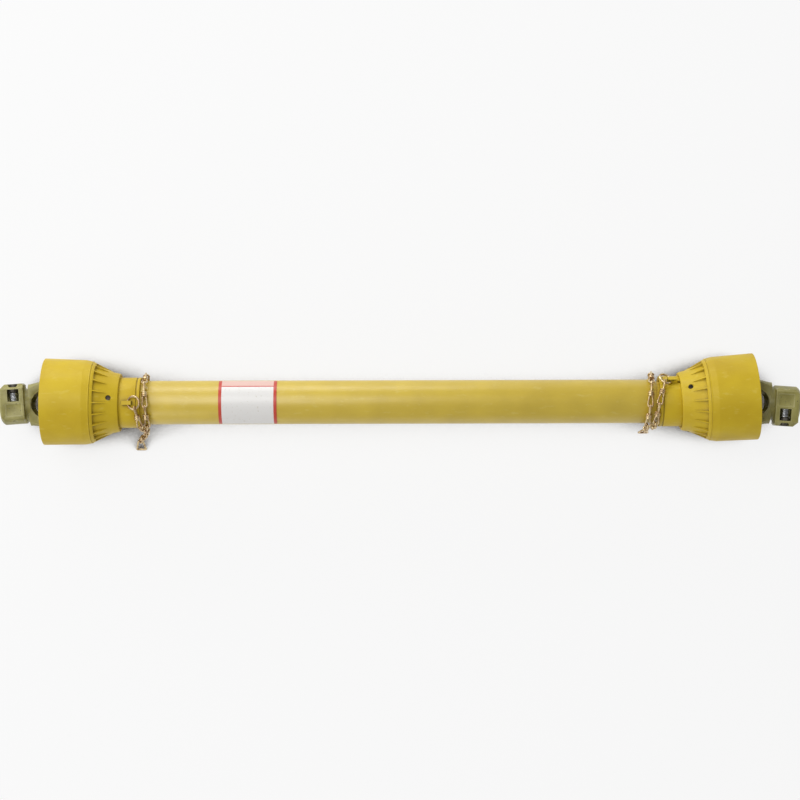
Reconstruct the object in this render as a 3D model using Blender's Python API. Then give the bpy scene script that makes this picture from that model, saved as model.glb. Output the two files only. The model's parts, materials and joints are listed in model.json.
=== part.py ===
"""Telescopic drive shaft with its plastic guard, lying on the two guard bells.

Metres, +Z up. The shaft runs along X and the guard rests on z = 0. Each half is modelled in a
side frame: origin at the centre of its cross, +X outward along the shaft, and the left half is
the same frame turned half a turn about Z.
"""

import math

import bmesh
import bpy
from mathutils import Matrix, Vector

CROSS_TO_CROSS = 0.860
GAP = 0.0003

AXIS_HEIGHT = 0.05493
BELL_FLARE = 0.0014
BELL_OVERHANG = 0.0205
BELL_LENGTH = 0.0615
BELL_DROP = 0.0014
BELL_TAPER = 0.0075
BELL_LIP = 0.0017
GUARD_WALL = 0.003
CONE_WALL = 0.00255
RIM_CHAMFER = 0.0014

CONE_RING_WIDTH = 0.0037
CONE_RING_STEP = 0.0016
CONE_LENGTH = 0.0342
CONE_SHOULDER_RADIUS = 0.0386
CONE_END_RADIUS = 0.0370
CONE_FLANGE = 0.0090
CONE_PLAY = 0.0004
SPIGOT_LENGTH = 0.0070
RIB_COUNT = 20
RIB_WIDTH = 0.0017
POCKET_DEPTH = 0.0042
POCKET_LENGTH = 0.0195
RIB_ROOT = 0.0012

COLLAR_RADIUS = 0.0320
COLLAR_LENGTH = 0.0268
COLLAR_SEAT = 0.0050
COLLAR_LIP = 0.0035
COLLAR_GROOVE = 0.0014
COLLAR_GROOVE_DEPTH = 0.0011
COLLAR_EDGE = 0.00075
LUG_FROM_CONE = 0.0051
LUG_LENGTH = 0.0120
LUG_HEIGHT = 0.0058
LUG_WIDTH = 0.0052
LUG_SLOPE = 0.0052
LUG_EDGE = 0.0013
LUG_HOLE_RADIUS = 0.0021
RING_FROM_CONE = 0.0127

OUTER_GUARD_RADIUS = 0.0277
GUARD_TUBE_WALL = 0.0022
GUARD_TUBE_PLAY = 0.0005
GUARD_TUBE_INSET = 0.0105
GUARD_TUBE_END_GAP = 0.0050
INNER_GUARD_END_GAP = 0.0150

LABEL_LENGTH = 0.0734
LABEL_FROM_COLLAR = 0.1356
LABEL_FACETS = 13
LABEL_THICKNESS = 0.0003

BEARING_FROM_END = 0.0115
BEARING_WIDTH = 0.0064
BEARING_SLIT = 0.0020
SCREW_COUNT = 3
SCREW_HEAD_RADIUS = 0.0029
SCREW_HEAD_HEIGHT = 0.0022
SCREW_SLOT_DEPTH = 0.0009
SCREW_SLOT_WIDTH = 0.0010
SCREW_SHANK_RADIUS = 0.0016
SCREW_LENGTH = 0.0065

PROFILE_MEAN_RADIUS = 0.0205
PROFILE_LOBE = 0.0016
OUTER_PROFILE_WALL = 0.0032
INNER_PROFILE_WALL = 0.0036
PROFILE_END_GAP = 0.0150
ROLL_PIN_FROM_BEARING = 0.0120
ROLL_PIN_RADIUS = 0.0035
ROLL_PIN_WALL = 0.0013

SOCKET_RADIUS = 0.0272
SOCKET_PLAY = 0.0008
SOCKET_SEAT = 0.0290
SOCKET_GROOVE_DEPTH = 0.0020

CAP_RADIUS = 0.0110
CAP_SPAN = 0.0536
CAP_LENGTH = 0.0128
CAP_FLOOR = 0.0014
TRUNNION_RADIUS = 0.0065
TRUNNION_PLAY = 0.0003
CROSS_ROOT_RADIUS = 0.0090
CROSS_ROOT_PLAY = 0.0010
NIPPLE_BOSS_RADIUS = 0.0034
NIPPLE_BOSS_RISE = 0.0026
NIPPLE_LENGTH = 0.0052
NIPPLE_BODY_RADIUS = 0.0024
NIPPLE_BODY_LENGTH = 0.0026
NIPPLE_TIP_RADIUS = 0.0014
NIPPLE_TURN = 45.0

EAR_HALF = 0.0300
EAR_GAP_HALF = 0.0181
EAR_RADIUS = 0.0165
EAR_TIP_REACH = 0.0198
EAR_SHOULDER = 0.0132
FORK_OVERRUN = 0.0045
FORK_WEB_HALF = 0.0184
FORK_ROUND_START = 0.0350
FORK_ROUND_END = 0.0285
SNAP_GROOVE_DEPTH = 0.0010
SNAP_THICKNESS = 0.0012
SNAP_WIDTH = 0.0026
SNAP_OPENING = 0.0060

OUTER_THROAT = 0.0360
INNER_THROAT = 0.0340
HUB_END = 0.0755
HUB_RADIUS = 0.0232
HUB_CHAMFER = 0.0042
HUB_EDGE = 0.0014
NECK_AT = 0.0385
NECK_WIDTH = 0.0040
NECK_RADIUS = 0.0212
SPLINE_COUNT = 6
SPLINE_MAJOR_RADIUS = 0.01750
SPLINE_MINOR_RADIUS = 0.01495
SPLINE_HALF_WIDTH = 0.00435

HOUSING_START = 0.0435
HOUSING_END = 0.0725
HOUSING_END_CHAMFER = 0.0055
HOUSING_NECK_CHAMFER = 0.0020
HOUSING_REACH = 0.0280
HOUSING_BACK = 0.0195
HOUSING_TOP = 0.0268
HOUSING_CHAMFER = 0.0035
HOUSING_FRONT_CHAMFER = 0.0056
HOUSING_ROOT = 0.0117
PIN_AT = 0.0562
PIN_RADIUS = 0.0048
PIN_WINDOW_START = 0.0058
PIN_WINDOW_END = 0.0212
PIN_WINDOW_HALF = 0.0074
PIN_SHOULDER_RADIUS = 0.0067
PIN_SHOULDER_LENGTH = 0.0030
PIN_RECESS_DEPTH = 0.0040
PIN_RECESS_RADIUS = 0.0070
PIN_NIP = 0.0025
PANEL_INSET = 0.0007
PANEL_START = 0.0465
PANEL_END = 0.0662
PANEL_FRONT = -0.0030
PANEL_BACK = 0.0125
SPRING_WIRE = 0.0006
SPRING_TURNS = 4

CHAIN_WIRE = 0.00125
LINK_HALF = 0.0166
EYE_HALF_WIDTH = 0.0032
EYE_ROOT_RADIUS = 0.00198
KNOT_RADIUS = 0.0029
KNOT_HALF = 0.0036
LINK_OVERLAP = 0.0006
RING_WIRE = 0.0014
RING_RADIUS = 0.0080
RING_TILT = 22.0
RING_LINK_TURN = 76.0
HOOK_WIDTH = 0.0115
HOOK_LENGTH = 0.0120

CHAIN_WOUND = 0.0358
CHAIN_OVER_COLLAR = 0.0396

# Each row is the distance from the collar's end, the angle round the shaft and the radius.
LEFT_WINDING = [
    (0.0020, 66, CHAIN_OVER_COLLAR),
    (0.0048, 118, CHAIN_WOUND),
    (0.0050, 174, CHAIN_WOUND),
    (0.0050, 230, CHAIN_WOUND),
    (0.0052, 286, CHAIN_WOUND),
    (0.0060, 342, CHAIN_WOUND),
    (0.0085, 398, CHAIN_WOUND),
    (0.0080, 446, CHAIN_WOUND),
]
RIGHT_WINDING = [
    (0.0040, 16, CHAIN_OVER_COLLAR),
    (0.0060, 76, CHAIN_WOUND),
    (0.0060, 132, CHAIN_WOUND),
    (0.0066, 188, CHAIN_WOUND),
    (0.0080, 244, CHAIN_WOUND),
    (0.0100, 300, CHAIN_WOUND),
    (0.0130, 356, CHAIN_WOUND),
    (0.0150, 412, CHAIN_WOUND),
    (0.0160, 460, CHAIN_WOUND),
]
# Each row is the distance from the collar's end, y, and the height above the floor.
LEFT_TAIL = [(0.0010, 0.043, 0.034), (-0.0105, 0.0520, 0.0070)]
RIGHT_TAIL = [(0.0170, -0.041, 0.028)]
LEFT_HOOK_AIM = (0, 0.70, -0.71)
RIGHT_HOOK_AIM = (0, -0.2, -0.98)

LEFT_TILT = 4.0
RIGHT_TILT = -4.0
LEFT_LEAN = -1.0
RIGHT_LEAN = 3.7
LEFT_LUG_TURN = 0.0
RIGHT_LUG_TURN = 50.0
LEFT_SCREW_TURN = -9.0
RIGHT_SCREW_TURN = 27.0

BELL_SIDES = 24
GUARD_SIDES = 32
HUB_SIDES = 24
CAP_SIDES = 16
TRUNNION_SIDES = 12
PIN_SIDES = 12
WIRE_SIDES = 4
HEXAGON = 6
PROFILE_SIDES = 30

BELL_RADIUS = AXIS_HEIGHT / math.cos(math.pi / BELL_SIDES)
BELL_END = BELL_OVERHANG - BELL_LENGTH
BELL_NECK_RADIUS = BELL_RADIUS - BELL_FLARE
BELL_LIP_RADIUS = BELL_NECK_RADIUS - BELL_DROP
BELL_LIP_INNER = BELL_LIP_RADIUS - GUARD_WALL
CONE_RING_RADIUS = BELL_LIP_RADIUS - CONE_RING_STEP
CONE_START = BELL_END - GAP
CONE_END = CONE_START - CONE_LENGTH
COLLAR_START = CONE_END + COLLAR_SEAT
COLLAR_END = CONE_END - COLLAR_LENGTH
GUARD_TUBE_START = COLLAR_START - GUARD_TUBE_INSET
INNER_GUARD_RADIUS = OUTER_GUARD_RADIUS - GUARD_TUBE_WALL - GUARD_TUBE_PLAY
RING_AT = CONE_END - RING_FROM_CONE
BEARING_AT = -CONE_END - BEARING_FROM_END
ROLL_PIN_AT = BEARING_AT - ROLL_PIN_FROM_BEARING
SOCKET_END = -COLLAR_START - SOCKET_PLAY
CROSS_ROOT_REACH = CAP_SPAN / 2 - CAP_LENGTH - CROSS_ROOT_PLAY
NIPPLE_BOSS_REACH = CROSS_ROOT_REACH + NIPPLE_BOSS_RISE
PIN_HEIGHT = SPLINE_MAJOR_RADIUS + PIN_RADIUS - PIN_NIP
SNAP_AT = CAP_SPAN / 2 + GAP


def colour(code):
    """Linear colour of a six-digit sRGB hex code."""
    parts = [int(code[i : i + 2], 16) / 255 for i in (0, 2, 4)]
    linear = [c / 12.92 if c <= 0.04045 else ((c + 0.055) / 1.055) ** 2.4 for c in parts]
    return (*linear, 1.0)


def material(name, code, roughness, metallic):
    """One Principled material."""
    made = bpy.data.materials.new(name)
    made.use_nodes = True
    shader = made.node_tree.nodes["Principled BSDF"]
    shader.inputs["Base Color"].default_value = colour(code)
    shader.inputs["Roughness"].default_value = roughness
    shader.inputs["Metallic"].default_value = metallic
    made.diffuse_color = colour(code)
    return made


def clear_scene():
    for old in list(bpy.data.objects):
        bpy.data.objects.remove(old, do_unlink=True)


def mesh_object(name, mesh_data, finish=None):
    """An object for the bmesh, with outward normals, one material and smooth round faces."""
    bmesh.ops.remove_doubles(mesh_data, verts=mesh_data.verts, dist=1e-7)
    bmesh.ops.recalc_face_normals(mesh_data, faces=mesh_data.faces)
    mesh = bpy.data.meshes.new(name)
    mesh_data.to_mesh(mesh)
    mesh_data.free()
    made = bpy.data.objects.new(name, mesh)
    bpy.context.scene.collection.objects.link(made)
    if finish is not None:
        mesh.materials.append(finish)
    return made


def turned(name, profile, sides, finish=None, reach=2 * math.pi, start=None):
    """The closed outline of (x, radius) points turned about X, with a flat facet straight down."""
    made = bmesh.new()
    first = math.pi / sides if start is None else start
    turn = Matrix.Rotation(first, 3, "X")
    points = [made.verts.new(turn @ Vector((x, 0, radius))) for x, radius in profile]
    edges = [made.edges.new((points[i - 1], points[i])) for i in range(len(points))]
    whole = reach == 2 * math.pi
    steps = sides if whole else round(sides * reach / (2 * math.pi))
    if not whole:
        made.faces.new(points)
    swept = bmesh.ops.spin(
        made,
        geom=edges,
        cent=(0, 0, 0),
        axis=(1, 0, 0),
        angle=reach,
        steps=steps,
        use_merge=whole,
    )
    if not whole:
        last = [item for item in swept["geom_last"] if isinstance(item, bmesh.types.BMVert)]
        made.faces.new(ordered_round(last, edges_between(last)))
    bmesh.ops.remove_doubles(made, verts=made.verts, dist=1e-7)
    return mesh_object(name, made, finish)


def edges_between(points):
    """The edges that join two of these points."""
    chosen = set(points)
    return {edge for point in points for edge in point.link_edges if set(edge.verts) <= chosen}


def ordered_round(points, edges):
    """The points in order round their one closed loop of edges."""
    order = [points[0]]
    while len(order) < len(points):
        for edge in order[-1].link_edges:
            following = edge.other_vert(order[-1])
            if edge in edges and following not in order:
                order.append(following)
                break
    return order


def prism(name, outline, axis, low, high, finish=None):
    """The outline pulled along an axis: (y, z) along X, (x, z) along Y or (x, y) along Z."""
    place = {
        "X": lambda a, b, c: (c, a, b),
        "Y": lambda a, b, c: (a, c, b),
        "Z": lambda a, b, c: (a, b, c),
    }[axis]
    made = bmesh.new()
    face = made.faces.new([made.verts.new(place(a, b, low)) for a, b in outline])
    pulled = bmesh.ops.extrude_face_region(made, geom=[face])
    moved = [item for item in pulled["geom"] if isinstance(item, bmesh.types.BMVert)]
    bmesh.ops.translate(made, verts=moved, vec=Vector(place(0, 0, high - low)))
    return mesh_object(name, made, finish)


def block(name, x_range, y_range, z_range):
    """A box between the given limits."""
    outline = [(x, y) for x, y in zip((*x_range, *x_range[::-1]), sorted(y_range * 2))]
    return prism(name, outline, "Z", *z_range)


def rod(name, axis, radius, low, high, sides, centre=(0, 0, 0), finish=None):
    """A straight round rod with a flat facet across each main direction."""
    round_outline = arc(0, 0, radius, 180 / sides, 360 + 180 / sides, sides)[:-1]
    made = prism(name, round_outline, axis, low, high, finish)
    made.data.transform(Matrix.Translation(centre))
    return made


def arc(a, b, radius, first, last, steps):
    """Points on a circle about (a, b), from one angle to another in degrees."""
    turns = [math.radians(first + (last - first) * i / steps) for i in range(steps + 1)]
    return [(a + radius * math.cos(t), b + radius * math.sin(t)) for t in turns]


def combine(target, tool, operation):
    """Applies a Boolean to the target and removes the tool."""
    change = target.modifiers.new(operation, "BOOLEAN")
    change.operation = operation
    change.solver = "EXACT"
    change.object = tool
    bpy.context.view_layer.objects.active = target
    bpy.ops.object.modifier_apply(modifier=change.name)
    spare = tool.data
    bpy.data.objects.remove(tool, do_unlink=True)
    bpy.data.meshes.remove(spare)
    return target


def cut(target, *tools):
    for tool in tools:
        combine(target, tool, "DIFFERENCE")
    return target


def join(target, *tools):
    for tool in tools:
        combine(target, tool, "UNION")
    return target


def spun(made, degrees):
    """The object's mesh turned about the shaft, positive from +Z towards +Y."""
    made.data.transform(Matrix.Rotation(math.radians(-degrees), 4, "X"))
    return made


def smoothed(made, degrees=35):
    """Smooth round faces with sharp edges kept."""
    made.data.shade_smooth()
    made.data.set_sharp_from_angle(angle=math.radians(degrees))
    return made


def seated(made, carrier, finish=None):
    """Carries the object on its side frame and gives it its material and shading."""
    made.parent = carrier
    if finish is not None:
        made.data.materials.clear()
        made.data.materials.append(finish)
    return smoothed(made)


def lobed(mean, steps=PROFILE_SIDES):
    """Outline of the three-lobed profile tube, one lobe straight up."""
    outline = []
    for step in range(steps):
        angle = 2 * math.pi * step / steps
        radius = mean + PROFILE_LOBE * math.cos(3 * (angle - math.pi / 2))
        outline.append((radius * math.cos(angle), radius * math.sin(angle)))
    return outline


def splined():
    """Outline of the splined bore."""
    shallow = math.degrees(math.asin(SPLINE_HALF_WIDTH / SPLINE_MINOR_RADIUS))
    deep = math.degrees(math.asin(SPLINE_HALF_WIDTH / SPLINE_MAJOR_RADIUS))
    pitch = 360 / SPLINE_COUNT
    outline = []
    for index in range(SPLINE_COUNT):
        middle = index * pitch
        outline += arc(0, 0, SPLINE_MAJOR_RADIUS, middle - deep, middle + deep, 2)
        outline += arc(0, 0, SPLINE_MINOR_RADIUS, middle + shallow, middle + pitch - shallow, 2)
    return outline


def crest_radius(x):
    """Radius of the cone's rib crests at a station."""
    narrow = CONE_END + CONE_FLANGE
    share = (x - narrow) / (CONE_START - narrow)
    return CONE_SHOULDER_RADIUS + share * (CONE_RING_RADIUS - CONE_SHOULDER_RADIUS)


def cone_inner_radius(x):
    """Radius of the cone's inside at a station."""
    wide_radius = CONE_RING_RADIUS - POCKET_DEPTH - CONE_WALL
    narrow_radius = CONE_END_RADIUS - CONE_WALL
    share = (x - COLLAR_START) / (CONE_START - COLLAR_START)
    return narrow_radius + share * (wide_radius - narrow_radius)


def make_bell(carrier, finish, side):
    """Skirt of the guard: a wide, slightly flared tube that narrows to a lip round the cone."""
    taper_end = BELL_END + BELL_LIP
    taper_start = taper_end + BELL_TAPER
    profile = [
        (BELL_OVERHANG, BELL_RADIUS - RIM_CHAMFER),
        (BELL_OVERHANG - RIM_CHAMFER, BELL_RADIUS),
        (taper_start, BELL_NECK_RADIUS),
        (taper_end, BELL_LIP_RADIUS),
        (BELL_END, BELL_LIP_RADIUS),
        (BELL_END, BELL_LIP_INNER),
        (taper_end, BELL_LIP_INNER),
        (taper_start, BELL_NECK_RADIUS - GUARD_WALL),
        (BELL_OVERHANG, BELL_RADIUS - GUARD_WALL),
    ]
    return seated(turned(f"guard_bell_{side}", profile, BELL_SIDES, finish), carrier)


def make_cone(carrier, finish, side, screw_turn):
    """Ribbed cone: plain at its wide edge, pockets between ribs, then a shoulder and small end."""
    ring_back = CONE_START - CONE_RING_WIDTH
    pocket_end = ring_back - POCKET_LENGTH
    floor_radius = crest_radius(ring_back) - POCKET_DEPTH
    shoulder = CONE_END + CONE_FLANGE
    spigot_radius = BELL_LIP_INNER * math.cos(math.pi / BELL_SIDES) - GAP
    spigot_inner = spigot_radius - GUARD_WALL
    collar_bore = COLLAR_RADIUS + GAP + CONE_PLAY
    profile = [
        (CONE_START + SPIGOT_LENGTH, spigot_radius),
        (CONE_START, spigot_radius),
        (CONE_START, CONE_RING_RADIUS),
        (ring_back, crest_radius(ring_back)),
        (ring_back, floor_radius),
        (pocket_end, crest_radius(pocket_end)),
        (shoulder, CONE_SHOULDER_RADIUS),
        (CONE_END, CONE_END_RADIUS),
        (CONE_END, collar_bore),
        (COLLAR_START, collar_bore),
        (COLLAR_START, cone_inner_radius(COLLAR_START)),
        (ring_back, cone_inner_radius(ring_back)),
        (CONE_START, spigot_inner),
        (CONE_START + SPIGOT_LENGTH, spigot_inner),
    ]
    cone = turned(f"guard_cone_{side}", profile, GUARD_SIDES, finish)
    join(cone, rib_set(ring_back, pocket_end, floor_radius))
    for index in range(SCREW_COUNT):
        cut(cone, spun(screw_hole(SCREW_HEAD_RADIUS + GAP), screw_angle(index, screw_turn)))
    return seated(cone, carrier)


def rib_set(ring_back, pocket_end, floor_radius):
    """All ribs of one cone as thin wedges standing on the pocket floor."""
    low = pocket_end + RIB_WIDTH
    crest = crest_radius(ring_back) * math.cos(math.pi / GUARD_SIDES) - GAP
    outline = [
        (ring_back + RIB_ROOT, floor_radius - RIB_ROOT),
        (ring_back + RIB_ROOT, crest),
        (ring_back, crest),
        (low, crest_radius(low) - GAP / 2),
        (low, crest_radius(low) - 2 * RIB_ROOT),
    ]
    ribs = bmesh.new()
    for index in range(RIB_COUNT):
        turn = Matrix.Rotation(2 * math.pi * index / RIB_COUNT, 3, "X")
        ends = []
        for side in (-RIB_WIDTH / 2, RIB_WIDTH / 2):
            ends.append([ribs.verts.new(turn @ Vector((x, side, z))) for x, z in outline])
            ribs.faces.new(ends[-1])
        for i in range(len(outline)):
            ribs.faces.new((ends[0][i - 1], ends[0][i], ends[1][i], ends[1][i - 1]))
    return mesh_object("ribs", ribs)


def screw_angle(index, screw_turn):
    """Angle of a screw, always in the middle of a pocket."""
    pitch = 360 / RIB_COUNT
    return screw_turn + pitch * round(index * RIB_COUNT / SCREW_COUNT)


def screw_hole(radius):
    """Radial cutter at the bearing's station."""
    low = screw_base() - SCREW_LENGTH - GAP
    return rod("hole", "Z", radius, low, CONE_RING_RADIUS, PIN_SIDES, (-BEARING_AT, 0, 0))


def screw_base():
    """Radius that the screws' heads stand on."""
    return cone_inner_radius(SCREW_HEAD_RADIUS - BEARING_AT)


def make_screws(carrier, finish, side, screw_turn):
    """Pan head screws that hold the bearing ring inside the cone."""
    head_base = screw_base()
    for index in range(SCREW_COUNT):
        head_top = head_base + SCREW_HEAD_HEIGHT
        screw = rod("screw", "Z", SCREW_HEAD_RADIUS, head_base, head_top, PIN_SIDES)
        shank_low = head_base - SCREW_LENGTH
        shank_high = head_base + SCREW_HEAD_HEIGHT / 2
        join(screw, rod("shank", "Z", SCREW_SHANK_RADIUS, shank_low, shank_high, PIN_SIDES))
        reach = 2 * SCREW_HEAD_RADIUS
        width = SCREW_SLOT_WIDTH / 2
        low, high = head_top - SCREW_SLOT_DEPTH, head_top + SCREW_SLOT_DEPTH
        cut(screw, block("slot", (-reach, reach), (-width, width), (low, high)))
        screw.data.transform(Matrix.Translation((-BEARING_AT, 0, 0)))
        spun(screw, screw_angle(index, screw_turn))
        screw.name = f"guard_screw_{side}_{index + 1}"
        seated(screw, carrier, finish)


def make_bearing(carrier, finish, side, screw_turn, lean):
    """Split plastic ring in the inner yoke's groove, its outside following the leaning cone."""
    near, far = -BEARING_AT + BEARING_WIDTH / 2, -BEARING_AT - BEARING_WIDTH / 2
    bore = SOCKET_RADIUS - SOCKET_GROOVE_DEPTH + GAP
    start, end = near + BEARING_WIDTH / 2, far - BEARING_WIDTH / 2
    filling = [
        (start, 0),
        (start, cone_inner_radius(start) - GAP),
        (end, cone_inner_radius(end) - GAP),
        (end, 0),
    ]
    inside = turned("inside", filling, GUARD_SIDES)
    inside.data.transform(lean)
    reach = BELL_RADIUS
    profile = [(near, bore), (near, reach), (far, reach), (far, bore)]
    ring = turned(f"guard_bearing_{side}", profile, GUARD_SIDES, finish)
    combine(ring, inside, "INTERSECT")
    slit = block("slit", (2 * far, near / 2), (-BEARING_SLIT / 2, BEARING_SLIT / 2), (0, reach))
    cut(ring, spun(slit, screw_turn + 180 / RIB_COUNT * SCREW_COUNT))
    for index in range(SCREW_COUNT):
        hole = spun(screw_hole(SCREW_SHANK_RADIUS + GAP), screw_angle(index, screw_turn))
        hole.data.transform(lean)
        cut(ring, hole)
    return seated(ring, carrier)


def make_collar(carrier, finish, side, tube_radius, lug_turn):
    """Collar on the end of the guard tube, with an end groove and a lug for the chain ring."""
    groove_high = COLLAR_END + COLLAR_LIP + COLLAR_GROOVE
    groove_low = COLLAR_END + COLLAR_LIP
    groove_radius = COLLAR_RADIUS - COLLAR_GROOVE_DEPTH
    profile = [
        (COLLAR_START, COLLAR_RADIUS),
        (groove_high, COLLAR_RADIUS),
        (groove_high, groove_radius),
        (groove_low, groove_radius),
        (groove_low, COLLAR_RADIUS),
        (COLLAR_END + COLLAR_EDGE, COLLAR_RADIUS),
        (COLLAR_END, COLLAR_RADIUS - COLLAR_EDGE),
        (COLLAR_END, tube_radius + GAP),
        (COLLAR_START, tube_radius + GAP),
    ]
    collar = turned(f"guard_collar_{side}", profile, GUARD_SIDES, finish)
    back = CONE_END - LUG_FROM_CONE
    front = back - LUG_LENGTH
    top = COLLAR_RADIUS + LUG_HEIGHT
    outline = [
        (back, COLLAR_RADIUS - GUARD_WALL / 2),
        (back, COLLAR_RADIUS + GUARD_WALL / 2),
        (back - LUG_SLOPE, top),
        (front + LUG_EDGE, top),
        (front, top - LUG_EDGE),
        (front, COLLAR_RADIUS - GUARD_WALL / 2),
    ]
    lug = prism("lug", outline, "Y", -LUG_WIDTH / 2, LUG_WIDTH / 2)
    hole_at = (RING_AT, 0, ring_height())
    hole = rod("eye", "Y", LUG_HOLE_RADIUS, -LUG_WIDTH, LUG_WIDTH, PIN_SIDES, hole_at)
    join(collar, spun(lug, lug_turn))
    cut(collar, spun(hole, lug_turn))
    return seated(collar, carrier)


def ring_height():
    """Height of the chain ring's wire where it passes through the lug."""
    return COLLAR_RADIUS + RING_WIRE + 2 * GAP


def make_guard_tube(carrier, finish, side, radius, end):
    """Round guard tube from inside the collar to its open end."""
    bore = radius - GUARD_TUBE_WALL
    start = GUARD_TUBE_START
    profile = [(start, radius), (end, radius), (end, bore), (start, bore)]
    return seated(turned(f"guard_tube_{side}", profile, GUARD_SIDES, finish), carrier)


def make_label(carrier, finish):
    """Blank sticker wrapped round the upper side of the guard tube, on the tube's own facets."""
    low = OUTER_GUARD_RADIUS + GAP
    high = low + LABEL_THICKNESS
    start = COLLAR_END - LABEL_FROM_COLLAR + LABEL_LENGTH / 2
    end = start - LABEL_LENGTH
    step = 2 * math.pi / GUARD_SIDES
    profile = [(start, low), (start, high), (end, high), (end, low)]
    reach = LABEL_FACETS * step
    label = turned("label", profile, GUARD_SIDES, finish, reach, -reach / 2)
    return seated(label, carrier)


def make_profile_tube(carrier, finish, side, mean, wall, end):
    """Three-lobed steel tube from its seat in the inner yoke to its open end."""
    start = -(SOCKET_END - SOCKET_SEAT)
    tube = prism(f"profile_tube_{side}", lobed(mean), "X", end, start, finish)
    cut(tube, prism("bore", lobed(mean - wall), "X", end - wall, start + wall))
    hole = ROLL_PIN_RADIUS + GAP
    reach = SOCKET_RADIUS
    cut(tube, rod("hole", "Y", hole, -reach, reach, PIN_SIDES, (-ROLL_PIN_AT, 0, 0)))
    return seated(tube, carrier)


def make_roll_pin(carrier, finish, side):
    """Rolled pin through the inner yoke's socket and the profile tube."""
    half = SOCKET_RADIUS * math.cos(math.pi / HUB_SIDES)
    centre = (-ROLL_PIN_AT, 0, 0)
    name = f"roll_pin_{side}"
    pin = rod(name, "Y", ROLL_PIN_RADIUS, -half, half, PIN_SIDES, centre)
    bore = ROLL_PIN_RADIUS - ROLL_PIN_WALL
    cut(pin, rod("bore", "Y", bore, -2 * half, 2 * half, PIN_SIDES, centre))
    slit = block("slit", (0, 2 * ROLL_PIN_RADIUS), (-2 * half, 2 * half), (-GAP, GAP))
    slit.data.transform(Matrix.Translation(centre))
    cut(pin, slit)
    return seated(pin, carrier, finish)


def fork(name, throat, base, base_half):
    """Two ears joined by a round throat: pin axis along Y, base towards +X."""
    tip = -EAR_TIP_REACH
    upper = [(tip, EAR_HALF), (EAR_SHOULDER, EAR_HALF), (throat, base_half), (base, base_half)]
    inner = arc(throat - EAR_GAP_HALF, 0, EAR_GAP_HALF, -90, 90, 8)
    outline = [(x, -y) for x, y in upper]
    outline += upper[::-1]
    outline += [(tip, EAR_GAP_HALF)] + inner[::-1] + [(tip, -EAR_GAP_HALF)]
    web_half = FORK_WEB_HALF
    body = prism(name, outline, "Z", -2 * web_half, 2 * web_half)
    lean = math.degrees(math.asin((web_half - EAR_RADIUS) / throat))
    side = arc(0, 0, EAR_RADIUS, 90 + lean, 270 - lean, 10)
    far = base + FORK_OVERRUN
    side += [(throat, -web_half), (far, -web_half), (far, web_half), (throat, web_half)]
    combine(body, prism("side", side, "Y", -2 * EAR_HALF, 2 * EAR_HALF), "INTERSECT")
    corners = [
        (tip - GUARD_WALL, 0),
        (tip - GUARD_WALL, FORK_ROUND_START),
        (EAR_SHOULDER, FORK_ROUND_START),
        (throat, FORK_ROUND_END),
        (far, FORK_ROUND_END),
        (far, 0),
    ]
    return combine(body, turned("corners", corners, HUB_SIDES), "INTERSECT")


def bore_ears(body):
    """Cap bores right through both ears and the snap ring grooves in them."""
    bore = CAP_RADIUS + GAP / 2
    cut(body, rod("bore", "Y", bore, -2 * EAR_HALF, 2 * EAR_HALF, CAP_SIDES))
    groove = bore + SNAP_GROOVE_DEPTH
    for way in (-1, 1):
        ends = sorted((way * SNAP_AT, way * (SNAP_AT + SNAP_THICKNESS + 2 * GAP)))
        cut(body, rod("groove", "Y", groove, *ends, CAP_SIDES))
    return body


def make_outer_yoke(carrier, finish, side):
    """Quick-release yoke: fork, splined hub and the housing of its push pin."""
    neck_end = NECK_AT + NECK_WIDTH
    yoke = fork(f"outer_yoke_{side}", OUTER_THROAT, NECK_AT, HUB_RADIUS + GUARD_WALL)
    round_off = HUB_CHAMFER / 2
    hub = turned(
        "hub",
        [
            (OUTER_THROAT + GAP, 0),
            (OUTER_THROAT + GAP, NECK_RADIUS),
            (neck_end, NECK_RADIUS),
            (neck_end + round_off, HUB_RADIUS),
            (HUB_END - HUB_CHAMFER, HUB_RADIUS),
            (HUB_END - HUB_EDGE, HUB_RADIUS - HUB_CHAMFER / 2),
            (HUB_END, HUB_RADIUS - HUB_CHAMFER),
            (HUB_END, 0),
        ],
        HUB_SIDES,
    )
    join(yoke, hub, pin_housing())
    window_low = PIN_HEIGHT - PIN_SHOULDER_RADIUS - GAP
    window = block(
        "window",
        (PIN_AT - PIN_WINDOW_HALF, PIN_AT + PIN_WINDOW_HALF),
        (-PIN_WINDOW_END, -PIN_WINDOW_START),
        (window_low, 2 * HOUSING_TOP),
    )
    panel = block(
        "panel",
        (PANEL_START, PANEL_END),
        (PANEL_FRONT, PANEL_BACK),
        (HOUSING_TOP - PANEL_INSET, 2 * HOUSING_TOP),
    )
    bore = PIN_RADIUS + GAP
    reach = 2 * HOUSING_REACH
    pin_bore = rod("bore", "Y", bore, -reach, reach, PIN_SIDES, (PIN_AT, 0, PIN_HEIGHT))
    recess_low = PIN_RECESS_DEPTH - HOUSING_REACH
    centre = (PIN_AT, 0, PIN_HEIGHT)
    recess = rod("recess", "Y", PIN_RECESS_RADIUS, -reach, recess_low, PIN_SIDES, centre)
    spline = prism("spline", splined(), "X", OUTER_THROAT - EAR_GAP_HALF, HUB_END + GUARD_WALL)
    cut(yoke, window, panel, pin_bore, recess, spline)
    return seated(bore_ears(yoke), carrier, finish)


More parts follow.
